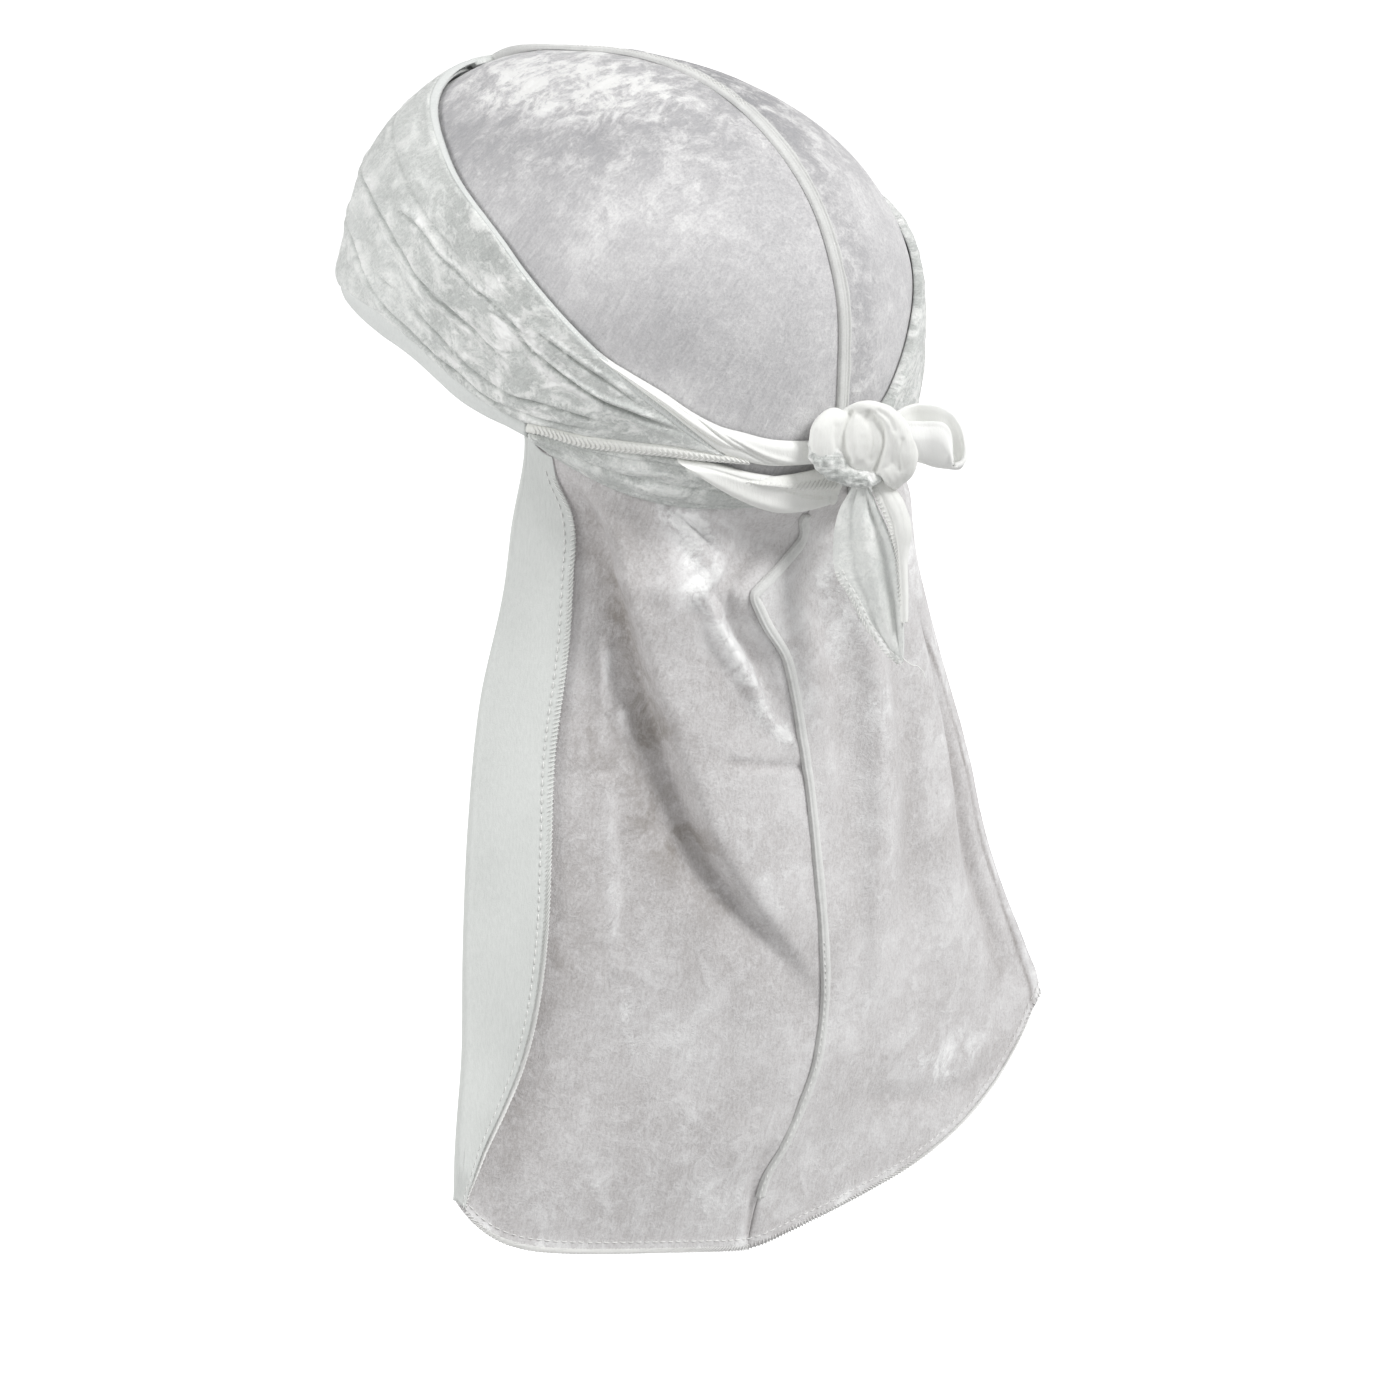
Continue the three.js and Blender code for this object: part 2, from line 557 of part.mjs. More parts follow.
// The tail's middle surface at a share across (1 left edge, 0 seam, -1 right edge) and of the drop
function tailPoint(across, drop) {
  const left = across >= 0;
  const sign = left ? 1 : -1;
  const share = Math.abs(across);
  const edges = left ? TAIL_EDGE_LEFT : TAIL_EDGE_RIGHT;
  const corner = left ? CORNERS.left : CORNERS.right;
  const edge = (column) => lookup(edges, 'drop', drop, column);
  const seamX = lookup(TAIL_SEAM, 'drop', drop, 'side') * HEAD_HALF_WIDTH;
  const seamY = lookup(TAIL_SEAM, 'drop', drop, 'behind') * HEAD_HALF_LENGTH;
  const edgeX = sign * mix(HEAD_HALF_WIDTH, TAIL_HALF_WIDTH, edge('spread'));
  const edgeY = edge('behind') * HEAD_HALF_LENGTH;
  const elbowX = edge('elbowSide') * edgeX;
  const elbowY = edge('elbowBehind') * HEAD_HALF_LENGTH;
  const a = (1 - share) ** 2;
  const b = 2 * share * (1 - share);
  const c = share ** 2;
  const rise = corner.steady * share + (1 - corner.steady) * share ** corner.power;
  const nape = headPoint(180, tailTop(180), 0).z;
  const hanging = new THREE.Vector3(
    a * seamX + b * elbowX + c * edgeX,
    a * seamY + b * elbowY + c * edgeY,
    nape - TAIL_DROP * (drop - edge('rise') * mix(share, rise, smooth(0.5, 1, drop))),
  );
  const along = new THREE.Vector2(
    2 * (1 - share) * (elbowX - seamX) + 2 * share * (edgeX - elbowX),
    2 * (1 - share) * (elbowY - seamY) + 2 * share * (edgeY - elbowY),
  ).normalize();
  const nearSeam = 1 - smooth(0, 0.2, share);
  const out = new THREE.Vector2(-along.y * sign, along.x * sign).lerp(new THREE.Vector2(0, 1), nearSeam);
  out.normalize().multiplyScalar(tailFold(across, drop));
  hanging.x += out.x;
  hanging.y += out.y;
  const bearing = mix(180, NAPE_LINE[1].bearing, share);
  const onNeck = headPoint(bearing, tailTop(bearing) - 130 * drop, CLOTH / 2);
  onNeck.x *= sign;
  return onNeck.lerp(hanging, smooth(0.012, 0.13, drop));
}

function tailFold(across, drop) {
  let height = 0;
  TAIL_FOLDS.forEach((fold) => {
    const way = (drop - fold.top) / (fold.foot - fold.top);
    const line = mix(fold.acrossTop, fold.acrossFoot, way);
    const strength = smooth(-0.02, 0.3, way) * (1 - smooth(0.6, 1.1, way));
    height += TAIL_FOLD * fold.height * strength * Math.exp(-(((across - line) / fold.width) ** 2));
  });
  return height;
}

const tailDrops = Array.from({ length: TAIL_ROWS + 1 }, (_, i) => (i / TAIL_ROWS) ** 1.25);

function tailPanel(sign) {
  const middle = tailDrops.map((drop) => Array.from({ length: TAIL_COLUMNS + 1 }, (_, j) => {
    const point = tailPoint(sign * (j / TAIL_COLUMNS), drop);
    point.x += sign * JOIN_GAP / 2;
    return point;
  }));
  if (sign > 0) addCuff(middle);
  return clothSheet(middle, CLOTH);
}

// The left edge goes on round a bend and lies back on the outside of the panel
function addCuff(middle) {
  const normals = gridNormals(middle);
  middle.forEach((row, i) => {
    const drop = tailDrops[i];
    const width = CUFF_WIDTH * lookup(CUFF, 'drop', drop, 'width');
    const turn = radians(Math.min(180, lookup(CUFF, 'drop', drop, 'turn')));
    const edge = row[TAIL_COLUMNS].clone();
    const out = normals[i][TAIL_COLUMNS].clone();
    if (out.y < 0) out.negate();
    const on = edge.clone().sub(row[TAIL_COLUMNS - 1]).normalize();
    const bend = (angle) => edge.clone()
      .addScaledVector(on, CUFF_BEND * Math.sin(angle))
      .addScaledVector(out, CUFF_BEND * (1 - Math.cos(angle)));
    for (let k = 1; k <= CUFF_BEND_STEPS; k += 1) row.push(bend(turn * k / CUFF_BEND_STEPS));
    const step = edge.distanceTo(row[TAIL_COLUMNS - 1]);
    const closed = smooth(radians(120), Math.PI, turn);
    for (let k = 1; k <= CUFF_COLUMNS; k += 1) {
      const way = width * k / CUFF_COLUMNS;
      const free = bend(turn)
        .addScaledVector(on, way * Math.cos(turn))
        .addScaledVector(out, way * Math.sin(turn));
      const column = Math.max(0, TAIL_COLUMNS - way / step);
      const low = Math.floor(column);
      const high = Math.min(low + 1, TAIL_COLUMNS);
      const lying = row[low].clone().lerp(row[high], column - low);
      lying.addScaledVector(out, 2 * CUFF_BEND);
      row.push(free.lerp(lying, closed));
    }
  });
}

// Raised seam down the tail, lying on both panels
function tailSeam() {
  const section = [[-0.5, 0.25], [-0.3, 0.85], [0, 1], [0.3, 0.85], [0.5, 0.25]];
  const drops = tailDrops.filter((drop) => drop > 0.035 && drop < 0.93);
  const grids = [[], []];
  drops.forEach((drop) => {
    const middle = tailPoint(0, drop);
    const down = tailPoint(0, drop + 0.01).sub(tailPoint(0, drop - 0.01)).normalize();
    const side = new THREE.Vector3(1, 0, 0);
    const out = side.clone().cross(down).normalize().negate();
    if (out.y < 0) out.negate();
    const base = CLOTH / 2 + CLEARANCE;
    const at = ([share, rise], height) => middle.clone()
      .addScaledVector(side, share * TAIL_SEAM_WIDTH)
      .addScaledVector(out, base + rise * height);
    grids[0].push(section.map((s) => at(s, TAIL_SEAM_RISE)));
    grids[1].push(section.map((s) => at(s, 0)));
  });
  return closedSheet(grids[0], grids[1]);
}

// Knot

const knotSeat = headPoint(180, KNOT_HEIGHT_ANGLE, CLOTH + CLEARANCE);
knotSeat.x = KNOT_SIDE * HEAD_HALF_WIDTH;

// The joined lobes of the knot, each a size larger by a margin
function knotSolid(margin) {
  const lobes = KNOT_LOBES.map((lobe) => {
    const ball = new THREE.SphereGeometry(1, 12, 8);
    ball.deleteAttribute('normal');
    ball.deleteAttribute('uv');
    ball.scale(
      lobe.halfSide * KNOT_WIDTH + margin,
      lobe.halfOut * KNOT_DEPTH + margin,
      lobe.halfUp * KNOT_HEIGHT + margin,
    );
    ball.rotateY(radians(lobe.lean));
    ball.translate(
      knotSeat.x + lobe.side * KNOT_WIDTH,
      knotSeat.y + lobe.out * KNOT_DEPTH,
      knotSeat.z + lobe.up * KNOT_HEIGHT,
    );
    return solidOf(ball);
  });
  return wasm.Manifold.union(lobes);
}

// The head and crown as one filled body, to trim what rests on the crown
function headSolid(outside) {
  const surface = bearingsBetween(0, 360, CROWN_STEP).map((bearing) => Array.from(
    { length: 31 }, (_, j) => headPoint(bearing, mix(-90, 90, j / 30), outside)));
  surface[surface.length - 1] = surface[0];
  const positions = [];
  const push = (a, b, c) => {
    const flat = a.distanceTo(b) < 1e-5 || b.distanceTo(c) < 1e-5 || c.distanceTo(a) < 1e-5;
    if (!flat) [a, b, c].forEach((p) => positions.push(p.x, p.y, p.z));
  };
  for (let i = 0; i < surface.length - 1; i += 1) {
    for (let j = 0; j < 30; j += 1) {
      push(surface[i][j], surface[i + 1][j], surface[i + 1][j + 1]);
      push(surface[i][j], surface[i + 1][j + 1], surface[i][j + 1]);
    }
  }
  const geometry = new THREE.BufferGeometry();
  geometry.setAttribute('position', new THREE.Float32BufferAttribute(positions, 3));
  return solidOf(outward(mergeVertices(geometry, 1e-4)));
}

const knotTrim = knotSolid(CLEARANCE);
const knotBody = knotSolid(0).subtract(headSolid(CLOTH + CLEARANCE));

// What enters the knot stops just short of it
function meetKnot(geometry) {
  const parts = solidOf(geometry).subtract(knotTrim).decompose();
  return geometryOf(parts.sort((a, b) => b.volume() - a.volume())[0]);
}

// Strap folded back on itself to the right of the knot
function bowLoop() {
  const start = new THREE.Vector3(
    knotSeat.x - 0.2 * KNOT_WIDTH, knotSeat.y + 0.45 * KNOT_DEPTH, knotSeat.z + 0.02 * KNOT_HEIGHT);
  const curve = new THREE.CatmullRomCurve3(LOOP_PATH.map((row) => new THREE.Vector3(
    start.x - row.side * LOOP_LENGTH, start.y + row.behind * LOOP_DEPTH, start.z)));
  const middle = curve.getSpacedPoints(18).map((point) => [-0.5, -0.17, 0.17, 0.5].map((share) => {
    const low = Math.max(0, -share);
    return point.clone().add(new THREE.Vector3(
      -LOOP_LEAN * low * STRAP_FOLDED_WIDTH, 0, share * STRAP_FOLDED_WIDTH));
  }));
  return clothSheet(middle, CLOTH);
}

// A strap's end that hangs from the knot
function strapEnd(rows, curl) {
  const start = new THREE.Vector3(
    knotSeat.x, knotSeat.y + 0.3 * KNOT_DEPTH, knotSeat.z - 0.34 * KNOT_HEIGHT);
  const last = rows.at(-1).drop;
  const steps = 12;
  const middle = Array.from({ length: steps + 1 }, (_, i) => {
    const drop = last * i / steps;
    const at = (column) => lookup(rows, 'drop', drop, column) * END_WIDTH;
    return [-0.5, -0.25, 0, 0.25, 0.5].map((share) => new THREE.Vector3(
      start.x + at('side') + share * at('width'),
      start.y + at('behind') + curl * Math.cos(share * Math.PI * 2) * at('width'),
      start.z - drop * END_DROP,
    ));
  });
  return clothSheet(middle, CLOTH);
}

// Assembly
const durag = new THREE.Group();
durag.position.z = -CROWN_HEIGHT;

function add(name, geometry, finish) {
  const mesh = new THREE.Mesh(geometry, new THREE.MeshStandardMaterial(finish));
  mesh.name = name;
  durag.add(mesh);
}

add('crown_left', crownHalf(), VELVET);
add('crown_right', mirrored(crownHalf()), VELVET);
add('crown_seam', meetKnot(crownSeam()), KNIT);
add('front_hem', frontHem(), HEM_KNIT);
add('wrap_left', wrapLeft(), VELVET);
add('wrap_right', meetKnot(wrapRight()), VELVET);
add('upper_strand', meetKnot(upperStrand()), KNIT);
add('under_wrap_left', meetKnot(underWrap()), VELVET);
add('under_wrap_right', meetKnot(mirrored(underWrap())), VELVET);
add('tail_left', tailPanel(1), VELVET);
add('tail_right', tailPanel(-1), VELVET);
add('tail_seam', tailSeam(), KNIT);
add('knot', geometryOf(knotBody), KNIT);
add('bow_loop', meetKnot(bowLoop()), KNIT);
add('strap_end_front', meetKnot(strapEnd(END_FRONT, 0.05)), VELVET);
add('strap_end_rear', meetKnot(strapEnd(END_REAR, 0.08)), KNIT);

export default durag;
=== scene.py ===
import math
import bmesh
import bpy
import numpy as np
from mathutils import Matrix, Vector


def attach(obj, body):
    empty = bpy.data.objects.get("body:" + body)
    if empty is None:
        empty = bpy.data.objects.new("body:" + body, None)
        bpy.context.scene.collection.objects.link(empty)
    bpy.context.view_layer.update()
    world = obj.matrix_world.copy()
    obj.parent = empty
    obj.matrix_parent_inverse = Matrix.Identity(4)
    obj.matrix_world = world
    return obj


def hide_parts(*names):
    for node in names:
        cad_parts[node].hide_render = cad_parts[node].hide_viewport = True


# Durag in crushed velvet. Lengths in the code are millimetres from the head's centre,
# bearings run from the face (0) over the wearer's left (90) to the back (180).
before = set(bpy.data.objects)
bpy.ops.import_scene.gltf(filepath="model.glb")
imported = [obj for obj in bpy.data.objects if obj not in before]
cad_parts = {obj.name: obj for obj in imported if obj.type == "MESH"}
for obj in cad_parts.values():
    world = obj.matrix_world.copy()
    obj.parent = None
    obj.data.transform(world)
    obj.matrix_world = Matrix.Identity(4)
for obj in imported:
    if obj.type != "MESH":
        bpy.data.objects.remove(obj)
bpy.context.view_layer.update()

# Head and cloth, the same sizes as the frame's
HEAD_HALF_WIDTH = 73.5
HEAD_HALF_LENGTH = 100
CROWN_HEIGHT = 76
NAPE_CURVE = 120
HEAD_SQUARENESS = 2.18
BACK_FULLNESS = 0.028
TOP_TAPER = 0.29
CLOTH = 1.5
CLEARANCE = 0.7
JOIN_GAP = 0.4
TAIL_DROP = 256
TAIL_HALF_WIDTH = 122
CUFF_BEND = 1.6

# Sizes of the finish in mm
LYING = CLOTH + CLEARANCE
STRAP_WALL = 1.1
OVERLOCK_THREAD = 0.17
TOPSTITCH_THREAD = 0.16
FINE_THREAD = 0.15
HEM_THREAD = 0.2
LOOSE_THREAD = 0.22
CROWN_SEAM_START = 41.5
CROWN_SEAM_END = 194
TAIL_SEAM_START = 0.0345
TAIL_SEAM_END = 0.925

# Camera at the photograph's viewing angle
CAMERA_TURN = 49.3
CAMERA_LIFT = 11.345
CAMERA_AWAY = 1.53
IMAGE = 1400
FOCAL = 4750
HEAD_PIXEL = (626.785, 295.183)


def add_camera():
    data = bpy.data.cameras.new("camera")
    data.sensor_width = 36
    data.lens = 36 * FOCAL / IMAGE
    camera = bpy.data.objects.new("camera", data)
    bpy.context.scene.collection.objects.link(camera)
    turn = math.radians(CAMERA_TURN)
    lift = math.radians(CAMERA_LIFT)
    away = Vector((math.cos(turn) * math.cos(lift), math.sin(turn) * math.cos(lift), math.sin(lift)))
    camera.location = away * CAMERA_AWAY + Vector((0, 0, -CROWN_HEIGHT / 1000))
    right = (HEAD_PIXEL[0] - IMAGE / 2) / FOCAL
    up = (IMAGE / 2 - HEAD_PIXEL[1]) / FOCAL
    slope = -away.z * math.sqrt(1 + right * right + up * up) / math.sqrt(1 + up * up)
    pitch = math.asin(slope) - math.atan(up)
    heading = math.atan2(-away.y, -away.x)
    yaw = heading + math.atan2(right, math.cos(pitch) - up * math.sin(pitch))
    camera.rotation_euler = (math.pi / 2 + pitch, 0, yaw - math.pi / 2)
    bpy.context.scene.camera = camera


add_camera()

# Lines on the head, in degrees: bearing and height, or bearing, high edge and low edge
HEM_LINE = [(0, -4.4), (36, -4.0), (60, -4.6), (70, -6.6), (82, -9.8), (92, -13.2), (101, -16.2),
            (108, -17.8), (117, -19.8)]
NAPE_LINE = [(117, -19.8), (121, -22.9), (131, -23.6), (138, -24.4), (146, -25.2), (180, -25.4)]

FRONT_HEM = [  # the low edge
    (0, -3.2), (20, -2.4), (36, -1.8), (47, -3.0), (56, -5.0), (64, -6.6), (72, -8.0), (80, -10.1),
    (88, -13.2), (96, -16.4), (105, -18.4), (111, -19.2), (117, -20.4)]
WRAP_LEFT = [
    (-58, -0.2, -1.0), (-42, 11.0, -1.0), (-26, 23.0, -1.0), (-12, 33.4, -1.0), (0, 41.4, -1.0),
    (12, 45.4, -0.7), (22, 45.6, -0.2), (35, 44.4, 0.4), (52, 42.4, 0.5), (66, 39.6, -1.3),
    (82, 34.6, -5.3), (97, 28.4, -11.2), (108, 22.0, -14.7), (116, 15.6, -16.6), (123, 9.6, -16.4),
    (130, 3.4, -16.8), (134, 0.0, -16.7), (140, -5.4, -16.4), (146, -10.0, -16.3), (151, -13.6, -16.7),
    (157, -17.0, -17.8)]
WRAP_RIGHT = [
    (-10, 47.4, 46.2), (0, 47.6, 42.6), (12, 47.0, 34.6), (26, 46.0, 24.2), (42, 44.0, 12.2),
    (58, 41.8, 0.8), (66, 40.4, -2.2), (82, 36.8, -6.4), (97, 33.0, -11.3), (108, 30.0, -14.4),
    (116, 27.6, -16.2), (130, 22.0, -17.5), (142, 15.0, -18.2), (150, 9.0, -18.4), (157, 1.5, -18.6),
    (163, -5.5, -19.6), (169, -11.6, -20.4), (178, -16.5, -20.6)]
ROLL = [  # the rolled edge along the left strap
    (-50, 5.9, 4.6), (-40, 12.6, 11.3), (-25, 24.6, 22.6), (-10, 37.6, 33.5), (0, 44.9, 40.2),
    (12, 47.8, 44.1), (22, 47.0, 44.2), (35, 45.0, 42.9), (52, 42.7, 40.9), (66, 39.9, 38.2),
    (82, 34.9, 33.2), (97, 28.7, 27.0), (108, 22.3, 20.6), (116, 15.9, 14.2), (123, 9.9, 8.0),
    (129, 4.6, 2.6), (134, 0.3, -1.9), (140, -4.6, -7.0), (146, -8.9, -11.4), (151, -12.9, -14.9),
    (156, -16.7, -17.6), (158, -17.6, -18.0)]
STRAND_TOP = [
    (132, 1.6, 0.4), (136, -1.2, -2.6), (140, -3.4, -5.4), (146, -6.7, -9.8), (151, -10.0, -13.6),
    (156, -12.5, -17.0), (160, -13.6, -18.4), (165, -15.0, -19.5), (171, -15.8, -19.9),
    (178, -16.4, -20.2)]
STRAND_HEM = [
    (117.4, -16.6, -18.6), (121, -15.9, -18.4), (130, -16.4, -19.0), (138, -16.0, -18.6),
    (146, -15.9, -18.3), (151, -16.3, -18.5), (158, -17.2, -18.7), (161, -18.0, -18.9)]
BAND_LOW = [
    (117.6, -18.0, -20.2), (123, -17.9, -22.7), (131, -18.3, -25.2), (138, -18.2, -26.9),
    (145, -18.1, -27.7), (151, -18.5, -27.9), (157, -19.4, -27.6), (163, -22.0, -27.3),
    (169, -24.6, -26.9)]
BAND_MATTE = [
    (148.5, -18.4, -18.9), (151, -18.6, -20.4), (155, -18.9, -22.8), (161, -20.4, -25.8),
    (167, -21.6, -27.8), (172, -23.2, -28.2), (178, -24.6, -27.6)]
BAND_STITCHED = [
    (157.5, -20.7, -20.9), (161, -21.2, -21.9), (165, -21.2, -23.0), (169, -21.1, -24.5),
    (172, -20.9, -25.7), (176, -20.6, -27.0), (180, -20.4, -27.8)]

# Creases of the wide strap: bearing and height, then depth and width in mm
CREASES = [
    ([(10, 22.4), (43, 22.2), (54, 20.9), (62, 19.1), (70, 16.4), (80, 11.7), (90, 7.0), (96, 5.1),
      (107, 0.1)], 1.5, 0.6),
    ([(60, 23.0), (73, 22.1), (81, 19.8), (88, 16.6), (95, 14.2), (102, 10.9), (110, 7.6), (117, 3.0)], 1.0,
      0.6),
    ([(10, 13.5), (44, 12.0), (54, 9.4), (62, 5.6), (70, 1.8), (80, -1.8), (90, -5.9), (99, -8.9),
      (105, -11.4), (114, -14.8)], 1.7, 0.7),
    ([(108, 6.6), (116, 3.6), (118, 0.8), (123, -2.4), (128, -5.4), (134, -8.5), (141, -10.6),
      (149, -13.0)], 2.0, 0.6),
    ([(74, 12.5), (88, 8.6), (98, 4.6), (104, 1.9), (107, -0.3), (115, -5.0)], 0.9, 0.6),
    ([(-10, 33.0), (30, 33.5), (50, 31.5), (66, 28.0), (80, 23.5), (94, 18.0), (106, 12.5)], 0.5, 1.4),
    ([(78, 4.6), (84, 2.5), (90, -0.3), (95, -2.7), (103, -6.0)], 1.3, 0.5),
    ([(58, 9.4), (64, 8.2), (69, 7.0), (75, 5.4)], 0.9, 0.5),
    ([(92, -2.4), (96, -3.8), (106, -8.3), (114, -10.8), (121, -11.2), (128, -12.0), (138, -13.4)], 1.2,
      0.5),
    ([(116, 6.0), (124, 1.6), (130, -1.9), (136, -5.2), (143, -9.6)], 1.0, 0.6),
    ([(100, -10.0), (110, -13.0), (122, -14.6), (134, -14.8)], 0.8, 0.5)]

TAIL_SEAM = [  # share of the drop, to the side, behind
    (0, 0.80, 0.91), (0.028, 0.56, 0.87), (0.035, 0.39, 0.86), (0.052, 0.14, 0.86), (0.067, 0.075, 0.86),
    (0.081, 0.1, 0.87), (0.1, 0.217, 0.89), (0.116, 0.338, 0.9), (0.12, 0.367, 0.9), (0.126, 0.370, 0.9),
    (0.141, 0.342, 0.9), (0.164, 0.297, 0.9), (0.207, 0.193, 0.9), (0.255, 0.14, 0.9), (0.321, 0.091, 0.9),
    (0.399, 0.045, 0.9), (0.478, 0.013, 0.9), (0.571, -0.019, 0.9), (0.669, -0.062, 0.89),
    (0.749, -0.037, 0.88), (0.813, 0.038, 0.86), (0.857, 0.105, 0.84), (0.9, 0.18, 0.81), (1, 0.21, 0.76)]
TAIL_EDGE_LEFT = [  # drop, spread, behind, rise, elbow to the side, elbow behind
    (0, 0.0, 0.36, 0.05, 0.85, 0.9), (0.06, -0.07, 0.31, 0.045, 0.84, 0.84),
    (0.15, -0.03, 0.3, 0.025, 0.83, 0.8), (0.3, 0.23, 0.32, 0.034, 0.71, 0.86),
    (0.45, 0.445, 0.38, 0.043, 0.66, 0.9), (0.6, 0.605, 0.44, 0.053, 0.63, 0.92),
    (0.75, 0.725, 0.49, 0.078, 0.58, 0.88), (0.88, 0.865, 0.53, 0.11, 0.53, 0.83),
    (1, 0.95, 0.555, 0.15, 0.5, 0.75)]
TAIL_EDGE_RIGHT = [
    (0, 0, 0.42, 0.05, 0.85, 0.9), (0.06, -0.07, 0.55, 0.03, 0.62, 0.93),
    (0.15, -0.11, 0.62, 0, 0.51, 0.96), (0.3, 0.11, 0.63, 0.01, 0.57, 0.93),
    (0.45, 0.36, 0.64, 0.024, 0.54, 0.92), (0.6, 0.55, 0.655, 0.037, 0.5, 0.9),
    (0.75, 0.765, 0.665, 0.09, 0.49, 0.87), (0.88, 0.935, 0.67, 0.154, 0.48, 0.82),
    (0.95, 1.03, 0.675, 0.186, 0.48, 0.8), (1, 1.05, 0.68, 0.206, 0.48, 0.78)]
# Where the right edge is doubled: drop and share across
RIGHT_HEM = [(0, 0.80), (0.16, 0.83), (0.3, 0.90), (0.468, 0.95), (0.60, 0.968), (0.73, 0.975), (1.0, 0.975)]
CUFF_EDGE = [  # drop, share across of the turned-out edge's free side
    (0, 0.90), (0.035, 0.885), (0.072, 0.83), (0.107, 0.80), (0.177, 0.78), (0.253, 0.78), (0.352, 0.795),
    (0.465, 0.795), (0.565, 0.80), (0.657, 0.82), (0.74, 0.855), (0.81, 0.90), (0.878, 0.945),
    (0.96, 0.98), (1, 0.985)]


def curve(rows, value, column=1):
    """A column of a table at values of its first column, on a smooth curve through the rows."""
    keys = np.array([r[0] for r in rows], float)
    vals = np.array([r[column] for r in rows], float)
    value = np.asarray(value, float)
    i = np.clip(np.searchsorted(keys, value, side="left") - 1, 0, len(keys) - 2)
    before = np.concatenate([[keys[0]], keys[:-1]])
    after = np.concatenate([keys[1:], [keys[-1]]])
    slope = (np.concatenate([vals[1:], [vals[-1]]]) - np.concatenate([[vals[0]], vals[:-1]]))
    slope = slope / (after - before)
    span = keys[i + 1] - keys[i]
    t = np.clip((value - keys[i]) / span, 0, 1)
    t2, t3 = t * t, t * t * t
    return (vals[i] * (2 * t3 - 3 * t2 + 1) + vals[i + 1] * (3 * t2 - 2 * t3)
            + span * (slope[i] * (t3 - 2 * t2 + t) + slope[i + 1] * (t3 - t2)))


def smooth(low, high, value):
    t = np.clip((np.asarray(value, float) - low) / (high - low), 0, 1)
    return t * t * (3 - 2 * t)


def bell(value, middle, width):
    return np.exp(-((np.asarray(value, float) - middle) / width) ** 2)


def points(x, y, z):
    return np.stack(np.broadcast_arrays(x, y, z), axis=-1).astype(float)


def unit(v):
    return v / np.maximum(np.linalg.norm(v, axis=-1, keepdims=True), 1e-12)


def head_point(bearing, height, outside):
    b = np.radians(np.asarray(bearing, float))
    h = np.radians(np.asarray(height, float))
    way = points(np.sin(b) * np.cos(h), -np.cos(b) * np.cos(h), np.sin(h))
    taper = 1 - TOP_TAPER * np.maximum(way[..., 2], 0) ** 2
    half_width = (HEAD_HALF_WIDTH + outside) * (1 + BACK_FULLNESS * way[..., 1]) * taper
    half_height = np.where(way[..., 2] > 0, CROWN_HEIGHT + outside, NAPE_CURVE)
    total = (np.abs(way[..., 0] / half_width) ** HEAD_SQUARENESS
             + np.abs(way[..., 1] / (HEAD_HALF_LENGTH + outside)) ** HEAD_SQUARENESS
             + np.abs(way[..., 2] / half_height) ** HEAD_SQUARENESS)
    return way / (total ** (1 / HEAD_SQUARENESS))[..., None]


def swell(bearing, height):
    """How far the cloth stands off the head above the brow and at the front edge, in mm."""
    b = np.abs(np.asarray(bearing, float))
    h = np.asarray(height, float)
    brow = (1 - smooth(50, 77, h)) * (1 - smooth(16, 64, b)) * smooth(4, 28, h)
    return 3.5 * brow + 2.6 * bell(b, 44, 17) * bell(h, 2.0, 6.5)


def noise(p, size, seed=0, octaves=1):
    """Smooth value noise from -1 to 1 at points, with lumps of a size in mm."""
    out = np.zeros(p.shape[:-1])
    amount, total = 1.0, 0.0
    for octave in range(octaves):
        q = p / size + 31.7 * seed + 7.3 * octave
        base = np.floor(q).astype(np.int64)
        f = q - base
        f = f * f * (3 - 2 * f)
        value = np.zeros(out.shape)
        for corner in range(8):
            dx, dy, dz = corner & 1, (corner >> 1) & 1, corner >> 2
            n = ((base[..., 0] + dx) * 374761393 + (base[..., 1] + dy) * 668265263
                 + (base[..., 2] + dz) * 1013904223 + seed * 69069 + octave * 1299721) & 0xFFFFFFFF
            n = ((n ^ (n >> 13)) * 1274126177) & 0xFFFFFFFF
            n = (n ^ (n >> 16)) & 0xFFFF
            wx = f[..., 0] if dx else 1 - f[..., 0]
            wy = f[..., 1] if dy else 1 - f[..., 1]
            wz = f[..., 2] if dz else 1 - f[..., 2]
            value += n / 32767.5 * wx * wy * wz
        out += amount * (value - 1)
        total += amount
        amount *= 0.5
        size *= 0.5
    return out / total


def catmull(rows, count):
    """Points on a smooth curve through the rows, all columns at once."""
    rows = np.array(rows, float)
    keys = np.arange(len(rows))
    at = np.linspace(0, len(rows) - 1, count)
    table = np.column_stack([keys, rows])
    return np.column_stack([curve(table, at, c + 1) for c in range(rows.shape[1])])


def grid_normals(g):
    along = np.empty_like(g)
    across = np.empty_like(g)
    along[1:-1] = g[2:] - g[:-2]
    along[0] = g[1] - g[0]
    along[-1] = g[-1] - g[-2]
    across[:, 1:-1] = g[:, 2:] - g[:, :-2]
    across[:, 0] = g[:, 1] - g[:, 0]
    across[:, -1] = g[:, -1] - g[:, -2]
    return unit(np.cross(along, across))


def cloth_faces(middle, normals, wall, relief):
    """The two faces of a cloth about its middle, both moved out by the relief."""
    return (middle + normals * (wall / 2 + relief)[..., None],
            middle + normals * (-wall / 2 + relief)[..., None])


